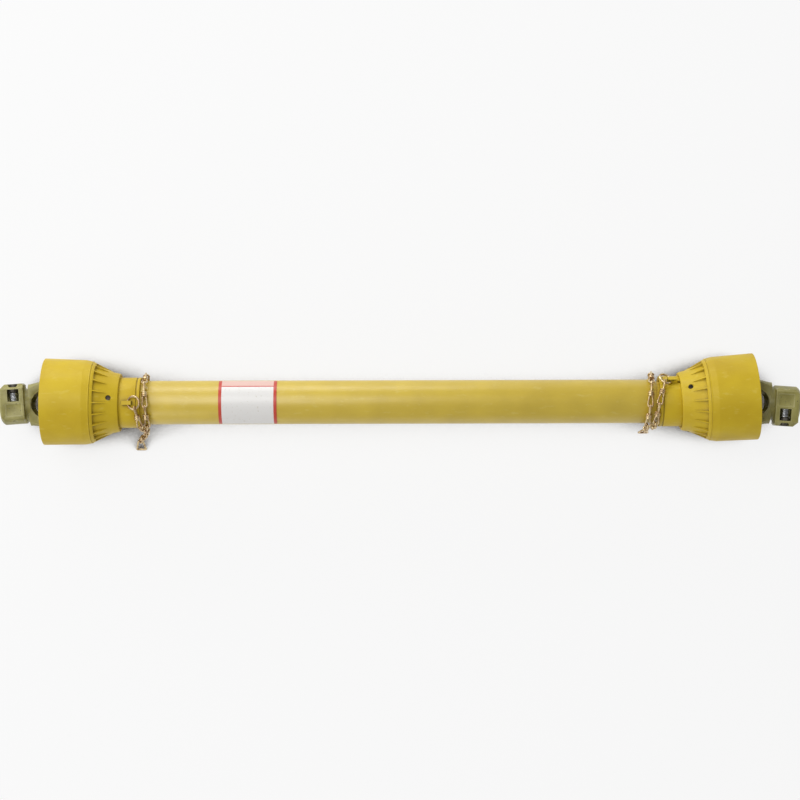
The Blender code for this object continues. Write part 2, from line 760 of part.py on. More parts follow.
def pin_housing():
    """Block on the hub round the push pin, with chamfered edges."""
    chamfer = HOUSING_CHAMFER
    outline = [
        (-HOUSING_REACH, 0),
        (HOUSING_ROOT, 0),
        (HOUSING_BACK, PIN_HEIGHT - chamfer),
        (HOUSING_BACK, HOUSING_TOP - chamfer),
        (HOUSING_BACK - chamfer, HOUSING_TOP),
        (-HOUSING_REACH + HOUSING_FRONT_CHAMFER, HOUSING_TOP),
        (-HOUSING_REACH, HOUSING_TOP - HOUSING_FRONT_CHAMFER),
    ]
    end = HOUSING_END - HOUSING_END_CHAMFER
    start = HOUSING_START + HOUSING_NECK_CHAMFER
    plan = [
        (start, -HOUSING_REACH),
        (end, -HOUSING_REACH),
        (HOUSING_END, HOUSING_END_CHAMFER - HOUSING_REACH),
        (HOUSING_END, HOUSING_BACK - HOUSING_END_CHAMFER),
        (end, HOUSING_BACK),
        (start, HOUSING_BACK),
        (HOUSING_START, HOUSING_BACK - HOUSING_NECK_CHAMFER),
        (HOUSING_START, HOUSING_NECK_CHAMFER - HOUSING_REACH),
    ]
    housing = prism("housing", outline, "X", HOUSING_START - chamfer, HOUSING_END + chamfer)
    return combine(housing, prism("plan", plan, "Z", -HUB_RADIUS, 2 * HOUSING_TOP), "INTERSECT")


def make_push_pin(carrier, finish, side):
    """Push pin across the hub with a shoulder for its spring and a domed button."""
    back = HOUSING_BACK - PIN_RADIUS
    front = GAP - HOUSING_REACH
    shoulder = -PIN_WINDOW_END + GAP
    centre = (PIN_AT, 0, PIN_HEIGHT)
    name = f"push_pin_{side}"
    pin = rod(name, "Y", PIN_RADIUS, front, back, PIN_SIDES, centre)
    ends = (shoulder, shoulder + PIN_SHOULDER_LENGTH)
    join(pin, rod("shoulder", "Y", PIN_SHOULDER_RADIUS, *ends, PIN_SIDES, centre))
    return seated(pin, carrier, finish)


def make_pin_spring(carrier, finish, side):
    """Coil spring round the push pin, between the window's wall and the shoulder."""
    start = -PIN_WINDOW_START - SPRING_WIRE - GAP
    end = -PIN_WINDOW_END + 2 * GAP + PIN_SHOULDER_LENGTH + SPRING_WIRE
    radius = PIN_RADIUS + GAP + SPRING_WIRE
    steps = 8 * SPRING_TURNS
    curve = bpy.data.curves.new(f"pin_spring_{side}", "CURVE")
    curve.dimensions = "3D"
    curve.bevel_depth = SPRING_WIRE
    curve.bevel_resolution = 0
    curve.use_fill_caps = True
    line = curve.splines.new("POLY")
    line.points.add(steps)
    for step in range(steps + 1):
        share = step / steps
        angle = 2 * math.pi * SPRING_TURNS * share
        x = PIN_AT + radius * math.cos(angle)
        z = PIN_HEIGHT + radius * math.sin(angle)
        line.points[step].co = (x, start + (end - start) * share, z, 1)
    curve.materials.append(finish)
    spring = bpy.data.objects.new(curve.name, curve)
    bpy.context.scene.collection.objects.link(spring)
    spring.parent = carrier
    return spring


def make_inner_yoke(carrier, finish, side, mean):
    """Yoke on the profile tube: ears up and down, a grooved socket for the guard bearing."""
    base = INNER_THROAT + GUARD_WALL
    yoke = fork(f"inner_yoke_{side}", INNER_THROAT, base, SOCKET_RADIUS)
    bore_ears(yoke)
    yoke.data.transform(Matrix.Rotation(math.pi / 2, 4, "X") @ Matrix.Rotation(math.pi, 4, "Z"))
    near = -BEARING_AT + BEARING_WIDTH / 2 + GAP
    far = -BEARING_AT - BEARING_WIDTH / 2 - GAP
    groove = SOCKET_RADIUS - SOCKET_GROOVE_DEPTH
    socket = turned(
        "socket",
        [
            (-INNER_THROAT - GAP, 0),
            (-INNER_THROAT - GAP, SOCKET_RADIUS - GUARD_WALL),
            (-base, SOCKET_RADIUS),
            (near, SOCKET_RADIUS),
            (near, groove),
            (far, groove),
            (far, SOCKET_RADIUS),
            (-SOCKET_END, SOCKET_RADIUS),
            (-SOCKET_END, 0),
        ],
        HUB_SIDES,
    )
    join(yoke, socket)
    seat = -(SOCKET_END - SOCKET_SEAT) + GAP
    cut(yoke, prism("seat", lobed(mean + GAP), "X", -SOCKET_END - GUARD_WALL, seat))
    hole = ROLL_PIN_RADIUS + GAP
    reach = 2 * SOCKET_RADIUS
    cut(yoke, rod("hole", "Y", hole, -reach, reach, PIN_SIDES, (-ROLL_PIN_AT, 0, 0)))
    return seated(yoke, carrier, finish)


def make_cross(carrier, finish, side):
    """Cross with four trunnions and a boss for its grease nipple."""
    reach = CAP_SPAN / 2 - CAP_FLOOR - GAP
    roots = {}
    for axis in ("Y", "Z"):
        arm = rod("arm", axis, CROSS_ROOT_RADIUS, -CROSS_ROOT_REACH, CROSS_ROOT_REACH, TRUNNION_SIDES)
        join(arm, rod("trunnion", axis, TRUNNION_RADIUS, -reach, reach, TRUNNION_SIDES))
        roots[axis] = arm
    cross = join(roots["Y"], roots["Z"])
    cross.name = f"cross_{side}"
    boss = rod("boss", "Z", NIPPLE_BOSS_RADIUS, 0, NIPPLE_BOSS_REACH, PIN_SIDES)
    join(cross, spun(boss, NIPPLE_TURN))
    return seated(cross, carrier, finish)


def make_nipple(carrier, finish, side):
    """Grease nipple screwed into the cross between two arms."""
    base = NIPPLE_BOSS_REACH + GAP
    name = f"grease_nipple_{side}"
    nipple = rod(name, "Z", NIPPLE_BODY_RADIUS, base, base + NIPPLE_BODY_LENGTH, HEXAGON)
    tip = rod("tip", "Z", NIPPLE_TIP_RADIUS, base, base + NIPPLE_LENGTH, PIN_SIDES)
    join(nipple, tip)
    return seated(spun(nipple, NIPPLE_TURN), carrier, finish)


CAP_PLACES = {"y_plus": 0, "z_plus": 90, "y_minus": 180, "z_minus": 270}


def make_caps(carriers, cap_finish, ring_finish, side):
    """Bearing caps on the trunnions and the snap rings that keep them in the ears."""
    outer = CAP_SPAN / 2
    mouth = outer - CAP_LENGTH
    cavity = TRUNNION_RADIUS + TRUNNION_PLAY
    groove_start = SNAP_AT + GAP
    for place, degrees in CAP_PLACES.items():
        turn = Matrix.Rotation(math.radians(degrees), 4, "X")
        carrier = carriers[place[0]]
        cap = rod(f"cap_{side}_{place}", "Y", CAP_RADIUS - GAP / 2, mouth, outer, CAP_SIDES)
        cut(cap, rod("cavity", "Y", cavity, 0, outer - CAP_FLOOR, TRUNNION_SIDES))
        cap.data.transform(turn)
        seated(cap, carrier, cap_finish)
        radius = CAP_RADIUS + GAP / 2 + SNAP_GROOVE_DEPTH - GAP
        ends = (groove_start, groove_start + SNAP_THICKNESS)
        name = f"snap_ring_{side}_{place}"
        ring = rod(name, "Y", radius, *ends, CAP_SIDES)
        cut(ring, rod("hole", "Y", radius - SNAP_WIDTH, 0, outer * 2, CAP_SIDES))
        opening = SNAP_OPENING / 2
        cut(ring, block("opening", (0, 2 * radius), (0, 2 * outer), (-opening, opening)))
        ring.data.transform(turn)
        seated(ring, carrier, ring_finish)


def tube_loop(points, normal, radius):
    """Closed wire loop through points that lie in one plane."""
    made = bmesh.new()
    count = len(points)
    rings = []
    for index, point in enumerate(points):
        ahead = points[(index + 1) % count] - points[index - 1]
        across = ahead.normalized().cross(normal)
        ring = []
        for turn in range(WIRE_SIDES):
            angle = 2 * math.pi * turn / WIRE_SIDES
            offset = across * math.cos(angle) + normal * math.sin(angle)
            ring.append(made.verts.new(point + radius * offset))
        rings.append(ring)
    for index in range(count):
        here, there = rings[index - 1], rings[index]
        for turn in range(WIRE_SIDES):
            made.faces.new((here[turn - 1], here[turn], there[turn], there[turn - 1]))
    return mesh_object("loop", made)


def eye(centre, ahead, across):
    """One eye of a link, from the knot at its centre out to the tip."""
    far = LINK_HALF - EYE_HALF_WIDTH
    outline = arc(far, 0, EYE_HALF_WIDTH, -90, 90, 4)
    outline += arc(KNOT_HALF, 0, EYE_ROOT_RADIUS, 120, 240, 1)
    points = [centre + ahead * a + across * b for a, b in outline]
    return tube_loop(points, ahead.cross(across), CHAIN_WIRE)


def link(start, end, last):
    """Knotted link between two joints: one eye edge-on to the shaft, the other flat on it."""
    centre = (start + end) / 2
    ahead = (end - start).normalized()
    away = Vector((0, centre.y, centre.z))
    away = (away - ahead * away.dot(ahead)).normalized()
    side = ahead.cross(away)
    made = eye(centre, -ahead, away)
    join(made, eye(centre, ahead, away if last else side))
    knot = rod("knot", "Z", KNOT_RADIUS, -KNOT_HALF, KNOT_HALF, HEXAGON)
    frame = Matrix((side, away, ahead)).transposed().to_4x4()
    knot.data.transform(Matrix.Translation(centre) @ frame)
    return join(made, knot)


def smooth_route(points, steps=12):
    """Evenly parted points on a smooth curve through the route's own points."""
    padded = [2 * points[0] - points[1], *points, 2 * points[-1] - points[-2]]
    dense = []
    for before, here, there, after in zip(padded, padded[1:], padded[2:], padded[3:]):
        for step in range(steps):
            t = step / steps
            bend = 2 * before - 5 * here + 4 * there - after
            twist = -before + 3 * here - 3 * there + after
            dense.append(0.5 * (2 * here + (there - before) * t + bend * t**2 + twist * t**3))
    return dense + [points[-1]]


def joints_along(points, pitch):
    """Places one pitch apart, measured straight from one to the next."""
    dense = smooth_route(points)
    places = [dense[0]]
    for here, there in zip(dense, dense[1:]):
        while (there - places[-1]).length >= pitch and (here - places[-1]).length < pitch:
            low, high = 0.0, 1.0
            for _ in range(30):
                middle = (low + high) / 2
                if (here.lerp(there, middle) - places[-1]).length < pitch:
                    low = middle
                else:
                    high = middle
            places.append(here.lerp(there, high))
    return places


def make_ring(carrier, finish, side, lug_turn):
    """Round ring through the lug; its free side lies a little higher. Returns its frame."""
    centre_turn = Matrix.Rotation(math.radians(-lug_turn), 4, "X")
    lean = Matrix.Rotation(math.radians(RING_TILT), 4, "Y")
    pivot = Matrix.Translation((RING_AT, 0, ring_height()))
    frame = centre_turn @ pivot @ lean
    points = [
        frame @ Vector((-RING_RADIUS + a, b, 0)) for a, b in arc(0, 0, RING_RADIUS, 0, 337.5, 15)
    ]
    normal = (frame.to_3x3() @ Vector((0, 0, 1))).normalized()
    ring = tube_loop(points, normal, RING_WIRE)
    ring.name = f"chain_ring_{side}"
    seated(ring, carrier, finish)
    return frame


def make_chain(carrier, finish, side, ring_frame, turn_way, winding, tail, hook_aim):
    """Knotted chain from the ring once round the tube, ending in a hook.

    The winding lists (station, angle, radius) round the shaft, the tail plain places."""
    angle = math.radians(180 - turn_way * RING_LINK_TURN)
    out = Vector((math.cos(angle), math.sin(angle), 0))
    wire = ring_frame @ (Vector((-RING_RADIUS, 0, 0)) + out * RING_RADIUS)
    route = []
    for station, degrees, radius in winding:
        around = math.radians(degrees)
        away = Vector((0, turn_way * math.sin(around), math.cos(around)))
        route.append(Vector((COLLAR_END - station, 0, 0)) + radius * away)
    route += [Vector((COLLAR_END - station, y, z - AXIS_HEIGHT)) for station, y, z in tail]
    pitch = 2 * LINK_HALF - 2 * CHAIN_WIRE + LINK_OVERLAP
    back = EYE_HALF_WIDTH - CHAIN_WIRE + LINK_OVERLAP / 2
    route.insert(0, wire - back * (route[0] - wire).normalized())
    joints = joints_along(route, pitch)
    pairs = list(zip(joints, joints[1:]))
    chain = None
    for index, (start, end) in enumerate(pairs):
        piece = link(start, end, index == len(pairs) - 1)
        chain = piece if chain is None else join(chain, piece)
    chain.name = f"chain_{side}"
    seated(chain, carrier, finish)
    make_hook(carrier, finish, side, *pairs[-1], hook_aim)


def make_hook(carrier, finish, side, start, end, aim):
    """Three-cornered end hook, flat on to the last link's eye."""
    ahead = (end - start).normalized()
    level = Vector(aim).normalized()
    across = Vector((1, 0, 0))
    nose = 2 * CHAIN_WIRE + 3 * GAP
    base = (start + end) / 2 + ahead * (LINK_HALF - nose) + level * nose
    corners = [
        (0, 0, nose, 120, 240),
        (HOOK_LENGTH, -HOOK_WIDTH / 2 + CHAIN_WIRE, CHAIN_WIRE, 230, 350),
        (HOOK_LENGTH, HOOK_WIDTH / 2 - CHAIN_WIRE, CHAIN_WIRE, 10, 130),
    ]
    outline = [point for corner in corners for point in arc(*corner, 3)]
    points = [base + level * a + across * b for a, b in outline]
    hook = tube_loop(points, level.cross(across).normalized(), CHAIN_WIRE)
    hook.name = f"chain_hook_{side}"
    return seated(hook, carrier, finish)


def make_materials():
    return {
        "guard": material("yellow moulded plastic", "D2B63A", 0.42, 0.0),
        "bearing": material("white nylon", "D9D6CC", 0.45, 0.0),
        "label": material("vinyl sticker", "E8E6E0", 0.35, 0.0),
        "yoke": material("olive painted forging", "8C8647", 0.45, 0.1),
        "tube": material("drawn steel tube", "8A8C8E", 0.38, 1.0),
        "bright": material("bright ground steel", "C4C6C8", 0.22, 1.0),
        "screw": material("zinc plated steel", "A9A79F", 0.32, 1.0),
        "chain": material("yellow zinc plated wire", "B99A6B", 0.33, 1.0),
    }


def side_frame(name, x, degrees):
    """Empty at the centre of a cross, +X outward along the shaft."""
    frame = bpy.data.objects.new(name, None)
    frame.location = (x, 0, AXIS_HEIGHT)
    frame.rotation_euler = (0, 0, math.radians(degrees))
    bpy.context.scene.collection.objects.link(frame)
    return frame


def child_frame(name, carrier, place):
    """Empty that another one carries, at a place given as a matrix."""
    frame = bpy.data.objects.new(name, None)
    frame.parent = carrier
    frame.matrix_basis = place
    bpy.context.scene.collection.objects.link(frame)
    return frame


def upright_turn(degrees, x=0):
    """Turn about an upright line through the shaft's axis at a station."""
    turn = Matrix.Rotation(math.radians(degrees), 4, "Z")
    return Matrix.Translation((x, 0, 0)) @ turn @ Matrix.Translation((-x, 0, 0))


def make_joint_end(carrier, tilted, finishes, side, mean):
    """Universal joint at one end: both yokes, the cross, its caps and the push pin."""
    make_outer_yoke(tilted, finishes["yoke"], side)
    make_push_pin(tilted, finishes["bright"], side)
    make_pin_spring(tilted, finishes["bright"], side)
    make_inner_yoke(carrier, finishes["yoke"], side, mean)
    make_cross(tilted, finishes["bright"], side)
    make_nipple(tilted, finishes["screw"], side)
    make_caps({"y": tilted, "z": carrier}, finishes["bright"], finishes["screw"], side)
    make_roll_pin(carrier, finishes["screw"], side)


def make_guard_end(carrier, finishes, side, tube_radius, tube_end, lug_turn, screw_turn, degrees):
    """Guard of one half: bell and cone leaning a little on the collar, bearing, screws and tube."""
    lean = upright_turn(degrees, CONE_END + CONE_FLANGE / 2)
    leaning = child_frame(f"{side}_lean", carrier, lean)
    make_bell(leaning, finishes["guard"], side)
    make_cone(leaning, finishes["guard"], side, screw_turn)
    make_bearing(carrier, finishes["bearing"], side, screw_turn, lean)
    make_screws(leaning, finishes["screw"], side, screw_turn)
    make_collar(carrier, finishes["guard"], side, tube_radius, lug_turn)
    make_guard_tube(carrier, finishes["guard"], side, tube_radius, tube_end)
    return make_ring(carrier, finishes["chain"], side, lug_turn)


def main():
    clear_scene()
    finishes = make_materials()
    left = side_frame("left_joint", -CROSS_TO_CROSS / 2, 180)
    right = side_frame("right_joint", CROSS_TO_CROSS / 2, 0)
    left_tilt = child_frame("left_tilt", left, upright_turn(LEFT_TILT))
    right_tilt = child_frame("right_tilt", right, upright_turn(RIGHT_TILT))

    outer_mean = PROFILE_MEAN_RADIUS
    inner_mean = outer_mean - OUTER_PROFILE_WALL - GAP
    profile_end = -(CROSS_TO_CROSS - SOCKET_END - PROFILE_END_GAP)
    make_profile_tube(left, finishes["tube"], "left", outer_mean, OUTER_PROFILE_WALL, profile_end)
    make_profile_tube(right, finishes["tube"], "right", inner_mean, INNER_PROFILE_WALL, profile_end)
    make_joint_end(left, left_tilt, finishes, "left", outer_mean)
    make_joint_end(right, right_tilt, finishes, "right", inner_mean)

    outer_end = -(CROSS_TO_CROSS + COLLAR_END - GUARD_TUBE_END_GAP)
    inner_end = -(CROSS_TO_CROSS - SOCKET_END - INNER_GUARD_END_GAP)
    tube, turns = OUTER_GUARD_RADIUS, (LEFT_LUG_TURN, LEFT_SCREW_TURN, LEFT_LEAN)
    left_ring = make_guard_end(left, finishes, "left", tube, outer_end, *turns)
    tube, turns = INNER_GUARD_RADIUS, (RIGHT_LUG_TURN, RIGHT_SCREW_TURN, RIGHT_LEAN)
    right_ring = make_guard_end(right, finishes, "right", tube, inner_end, *turns)
    make_label(left, finishes["label"])

    winding, tail, aim = LEFT_WINDING, LEFT_TAIL, LEFT_HOOK_AIM
    make_chain(left, finishes["chain"], "left", left_ring, 1, winding, tail, aim)
    winding, tail, aim = RIGHT_WINDING, RIGHT_TAIL, RIGHT_HOOK_AIM
    make_chain(right, finishes["chain"], "right", right_ring, -1, winding, tail, aim)


main()
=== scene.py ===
"""Looks of a telescopic drive shaft in its yellow plastic guard, lying on a pale floor.

Metres, in the CAD's own frame. Each half is shaped in a side frame, with its origin at the
centre of the cross and +X outward, and its mesh is then carried to its place.
"""

import json
import math

import bpy
from mathutils import Matrix, Vector

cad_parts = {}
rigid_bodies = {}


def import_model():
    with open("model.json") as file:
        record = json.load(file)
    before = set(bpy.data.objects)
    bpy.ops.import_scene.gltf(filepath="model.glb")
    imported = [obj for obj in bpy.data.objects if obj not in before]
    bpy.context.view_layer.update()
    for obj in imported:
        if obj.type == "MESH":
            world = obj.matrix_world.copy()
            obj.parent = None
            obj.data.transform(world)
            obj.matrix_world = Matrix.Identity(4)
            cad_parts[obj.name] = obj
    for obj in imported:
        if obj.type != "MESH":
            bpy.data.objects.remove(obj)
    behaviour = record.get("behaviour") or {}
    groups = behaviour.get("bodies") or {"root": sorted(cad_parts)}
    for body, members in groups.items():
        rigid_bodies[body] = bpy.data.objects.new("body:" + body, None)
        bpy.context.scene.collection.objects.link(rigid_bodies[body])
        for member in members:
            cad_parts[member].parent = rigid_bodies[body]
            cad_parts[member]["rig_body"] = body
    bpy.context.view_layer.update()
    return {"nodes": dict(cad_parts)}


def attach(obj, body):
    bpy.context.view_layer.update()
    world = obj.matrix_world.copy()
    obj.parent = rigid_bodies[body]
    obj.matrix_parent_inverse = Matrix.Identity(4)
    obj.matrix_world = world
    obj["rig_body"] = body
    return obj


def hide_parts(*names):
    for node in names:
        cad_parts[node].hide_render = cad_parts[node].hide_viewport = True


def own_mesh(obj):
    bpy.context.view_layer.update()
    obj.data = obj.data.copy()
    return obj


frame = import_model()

MM = 0.001
GAP = 0.0003

# How far the painted shade reaches from a corner, and how far the pale edge reaches, partly paint
# rubbed by handling and partly a painted highlight.
CORNER_SHADE_REACH = 6 * MM
CORNER_SHADE = "6B5514"
PALE_EDGE_REACH = 1.5 * MM
CORNER_SAMPLES = 6

# From the middle to each cross, and the height of the shaft's axis over the floor.
HALF_LENGTH = 0.430
AXIS_HEIGHT = 0.05493

# Bell: stations along the side frame's X, and radii.
BELL_OVERHANG = 0.0205
BELL_END = -0.0410
BELL_RIM_RADIUS = AXIS_HEIGHT
BELL_NECK_RADIUS = 0.0536
BELL_LIP_RADIUS = 0.0521
BELL_LIP_INNER = 0.0494
BELL_TAPER_START = -0.0318
BELL_TAPER_END = -0.0393
GUARD_WALL = 0.0030

# Cone: stations from its wide edge to its small end, radii, and the ribs and pockets.
CONE_START = -0.0413
CONE_RING_BACK = -0.0450
CONE_RING_RADIUS = 0.0513
CONE_SPIGOT = 0.0070
CONE_SHOULDER = -0.0665
CONE_SHOULDER_RADIUS = 0.0386
CONE_END = -0.0755
CONE_END_RADIUS = 0.0370
CONE_EDGE = 0.0014
CONE_INNER_WIDE = 0.04425
CONE_INNER_NARROW = 0.03445
POCKET_END = -0.0645
POCKET_DEPTH = 0.0042
RIB_COUNT = 20
RIB_WIDTH = 0.0017
POCKET_HALF = 2 * RIB_WIDTH * 5

# Collar with its end groove, and the lug that holds the chain ring.
COLLAR_RADIUS = 0.0319
COLLAR_PLAY = 0.0008
COLLAR_START = -0.0705
COLLAR_END = -0.1023
COLLAR_LIP = 0.0035
COLLAR_GROOVE = 0.0014
COLLAR_GROOVE_DEPTH = 0.0011
LUG_BACK = -0.0806
LUG_FRONT = -0.0926
LUG_TOP = 0.0378
LUG_WIDTH = 0.0052
LUG_SLOPE = 0.0052
LUG_HOLE_RADIUS = 0.0021
RING_AT = -0.0882
RING_HEIGHT = 0.0340

# Guard tubes: each side's radius and far end.
TUBE_START = -0.0810
TUBE_WALL = 0.0022
TUBES = {"left": (0.0277, -0.7527), "right": (0.0250, -0.7738)}

# Sticker: its ends, the widths of its printed bars, and its reach in degrees from the top.
LABEL_START = -0.2012
LABEL_END = -0.2746
LABEL_BAR = 0.0040
LABEL_BAND = 0.0197
LABEL_RULE = 0.0012
LABEL_REACH = 73.0
LABEL_RADIUS = 0.0280
LABEL_THICKNESS = 0.0003
PRINT_EDGE = 0.12 * MM

# Screws in the cone, and the holes that they sit in.
SCREW_AT = -0.0640
SCREW_HEAD_RADIUS = 0.0029
SCREW_HEAD_HEIGHT = 0.0022
SCREW_SHANK_RADIUS = 0.0016
SCREW_LENGTH = 0.0065
SCREW_STEPS = (0, 126, 234)
SCREW_HOLE_ENDS = (0.02, 0.06)
SCREW_SLOT_HALF = 0.0005
SCREW_SLOT_DEPTH = 0.0009
SCREW_SLOT_REACH = 0.01
SCREW_SLOT_TURN = 35
SCREW_SLOT_TURN_STEP = 70

# Push pin and its spring in the outer yoke.
PIN_AT = 0.0562
PIN_HEIGHT = 0.0198
PIN_RADIUS = 0.0048
SPRING_WIRE = 0.0006
SPRING_TURNS = 6
SPRING_STEPS = 16 * SPRING_TURNS
SPRING_BACK = -0.0067
SPRING_FRONT = -0.0170

# Chain: wire, links with their knots, ring and end hook.
CHAIN_WIRE = 0.00125
LINK_HALF = 0.0166
EYE_HALF_WIDTH = 0.0032
EYE_ROOT = 0.001584
DRAWN_WIRE = CHAIN_WIRE * 0.92
KNOT_HALF = 0.0036
KNOT_TURNS = 2.6
KNOT_STEPS = 44
KNOT_RADIUS = 0.0026
KNOT_BULGE = 0.0003
LINK_OVERLAP = 0.0006
RING_WIRE = 0.0014
RING_RADIUS = 0.0080
RING_POINTS = 48
RING_TILT = 22.0
RING_LINK_TURN = 76.0
HOOK_WIDTH = 0.0115
HOOK_LENGTH = 0.0120
OVER_COLLAR = 0.0396
WOUND = 0.0358

# Windings: distance from the collar's end, degrees round the shaft and radius.
# Tails: distance from the collar's end, y and the height above the floor.
HALVES = {
    "left": {
        "turn": 180, "lean": -1.0, "tilt": 4.0, "lug": 0, "screws": -9, "way": 1,
        "winding": [
            (0.0020, 66, OVER_COLLAR), (0.0048, 118, WOUND), (0.0050, 174, WOUND),
            (0.0050, 230, WOUND), (0.0052, 286, WOUND), (0.0060, 342, WOUND),
            (0.0085, 398, WOUND), (0.0080, 446, WOUND),
        ],
        "tail": [(0.0010, 0.043, 0.034), (-0.0105, 0.0520, 0.0070)],
        "hook_aim": (0, 0.70, -0.71),
    },
    "right": {
        "turn": 0, "lean": 3.7, "tilt": -4.0, "lug": 50, "screws": 27, "way": -1,
        "winding": [
            (0.0040, 16, OVER_COLLAR), (0.0060, 76, WOUND), (0.0060, 132, WOUND),
            (0.0066, 188, WOUND), (0.0080, 244, WOUND), (0.0100, 300, WOUND),
            (0.0130, 356, WOUND), (0.0150, 412, WOUND), (0.0160, 460, WOUND),
        ],
        "tail": [(0.0170, -0.041, 0.028)],
        "hook_aim": (0, -0.2, -0.98),
    },
}

# Width of the rounding on each piece's edges.
BELL_ROUNDING = 0.0006
CONE_ROUNDING = 0.0003
SCREW_ROUNDING = 0.0005
COLLAR_ROUNDING = 0.0004
LUG_ROUNDING = 0.0011
TUBE_ROUNDING = 0.0004
YOKE_ROUNDING = 0.0008
CROSS_ROUNDING = 0.0004
PUSH_PIN_ROUNDING = 0.0006
NIPPLE_ROUNDING = 0.0003
CAP_ROUNDING = 0.0003

# Sides of the round surfaces.
GUARD_SIDES = 128
CONE_SIDES = 120
STICKER_SIDES = 256
HOLE_SIDES = 32
SHANK_SIDES = 24

# Distances under which points are merged, and the angle under which facets are one.
MERGE_NEW = 1e-7
MERGE_CAD = 2e-6
FLAT_ANGLE = 0.5

# Floor: how much open sky counts as closed and as open for its painted shadow, and its share of
# glow.
FLOOR_SIZE = 14
FLOOR_REACH = 0.3
FLOOR_CLOSED = 0.46
FLOOR_OPEN = 0.60
FLOOR_GLOW = 0.86
FLOOR_SAMPLES = 24
SKY_LIGHT = 0.42

# Each lamp's name, place, size and watts.
LAMPS = [
    ("key from behind", (-1.0, 2.1, 0.50), (3.0, 0.8), 30),
    ("overhead", (-1.2, 0.8, 2.9), (2.2, 2.2), 47),
    ("front fill", (-1.8, -1.7, 1.0), (1.6, 1.2), 12),
]

CAMERA_HEIGHT = 2.864
CAMERA_SHIFT_Y = 0.0025
CAMERA_ROLL = -0.16
CAMERA_VIEW = 20.5
SENSOR_WIDTH = 36


def colour(code):
    """Linear colour of a six-digit sRGB hex code."""
    parts = [int(code[i : i + 2], 16) / 255 for i in (0, 2, 4)]
    linear = [c / 12.92 if c <= 0.04045 else ((c + 0.055) / 1.055) ** 2.4 for c in parts]
    return (*linear, 1.0)


def add(tree, kind, inputs=(), **settings):
    """Adds a node with its settings; an input takes a value or another node's output."""
    made = tree.nodes.new(kind)
    for key, value in settings.items():
        setattr(made, key, value)
    for key, value in dict(inputs).items():
        if isinstance(value, bpy.types.NodeSocket):
            tree.links.new(value, made.inputs[key])
        else:
            made.inputs[key].default_value = value
    return made


def start_material(name, roughness, metallic=0.0):
    """A material with its shader, and the place on the object that its patterns follow."""
    made = bpy.data.materials.new(name)
    made.use_nodes = True
    tree = made.node_tree
    shader = tree.nodes["Principled BSDF"]
    shader.inputs["Roughness"].default_value = roughness
    shader.inputs["Metallic"].default_value = metallic
    place = add(tree, "ShaderNodeTexCoord").outputs["Object"]
    return made, tree, shader, place


def speckle(tree, place, size, detail=2.0, stretch=(1, 1, 1), low=0.35, high=0.65):
    """Soft spots about size metres across, spread from 0 to 1."""
    drawn = add(tree, "ShaderNodeMapping", {"Vector": place, "Scale": stretch})
    scale = 1 / size
    inputs = {"Vector": drawn.outputs["Vector"], "Scale": scale, "Detail": detail}
    spots = add(tree, "ShaderNodeTexNoise", inputs)
    inputs = {"Value": spots.outputs["Fac"], "From Min": low, "From Max": high}
    return add(tree, "ShaderNodeMapRange", inputs).outputs["Result"]


def between(tree, share, first, second):
    """Colour between two others, by a share from 0 to 1."""
    inputs = {0: share, 6: first, 7: second}
    return add(tree, "ShaderNodeMix", inputs, data_type="RGBA").outputs[2]


def ranged(tree, share, low, high):
    """A share from 0 to 1 spread between two numbers."""
    inputs = {"Value": share, "To Min": low, "To Max": high}
    return add(tree, "ShaderNodeMapRange", inputs).outputs["Result"]


def relief(tree, shader, *layers):
    """Surface relief: each layer is a pattern with its real height in metres."""
    normal = None
    for share, height in layers:
        inputs = {"Height": share, "Distance": height, "Strength": 1.0}
        if normal is not None:
            inputs["Normal"] = normal
        normal = add(tree, "ShaderNodeBump", inputs).outputs["Normal"]
    tree.links.new(normal, shader.inputs["Normal"])


def painted_corner_shade(tree):
    """A share that rises in pockets, grooves and seams: painted shade, where less light falls."""
    settings = {"samples": CORNER_SAMPLES, "only_local": True}
    reach = add(tree, "ShaderNodeAmbientOcclusion", {"Distance": CORNER_SHADE_REACH}, **settings)
    inputs = {"Value": reach.outputs["AO"], "From Min": 0.90, "From Max": 0.45, "To Max": 0.75}
    return add(tree, "ShaderNodeMapRange", inputs).outputs["Result"]


def moulded_plastic(name, pale, deep, scuffed, low_rough, high_rough, gloss):
    """Injection moulded polyethylene: waxy sheen, faint flow clouds, orange peel, rubbed spots."""
    made, tree, shader, place = start_material(name, low_rough)
    shader.inputs["Specular IOR Level"].default_value = gloss
    clouds = speckle(tree, place, 38 * MM, 3, low=0.3, high=0.7)
    flow = speckle(tree, place, 9 * MM, 4, (0.25, 1, 1))
    base = between(tree, clouds, colour(pale), colour(deep))
    rubbed = speckle(tree, place, 5 * MM, 6, (0.4, 1, 1), 0.60, 0.72)
    faint = ranged(tree, rubbed, 0.0, 0.35)
    worn = between(tree, faint, base, colour(scuffed))
    # Painted shade: the plastic turns darker brown in pockets, grooves and seams.
    corner_shaded = between(tree, painted_corner_shade(tree), worn, colour(CORNER_SHADE))
    tree.links.new(corner_shaded, shader.inputs["Base Color"])
    rough = add(tree, "ShaderNodeMath", {0: flow, 1: rubbed}, operation="ADD").outputs[0]
    tree.links.new(ranged(tree, rough, low_rough, high_rough), shader.inputs["Roughness"])
    peel = speckle(tree, place, 1.4 * MM, 2)
    relief(tree, shader, (flow, 0.00006), (peel, 0.000035))
    return made


def rubbed_and_highlit_edges(tree):
    """A share that rises on corners: partly paint rubbed pale by handling, partly a painted
    highlight.
    """
    inputs = {"Radius": PALE_EDGE_REACH}
    rounded = add(tree, "ShaderNodeBevel", inputs, samples=CORNER_SAMPLES).outputs["Normal"]
    flat = add(tree, "ShaderNodeNewGeometry").outputs["Normal"]
    match = add(tree, "ShaderNodeVectorMath", {0: rounded, 1: flat}, operation="DOT_PRODUCT")
    inputs = {"Value": match.outputs["Value"], "From Min": 0.99, "From Max": 0.90, "To Max": 0.8}
    return add(tree, "ShaderNodeMapRange", inputs).outputs["Result"]


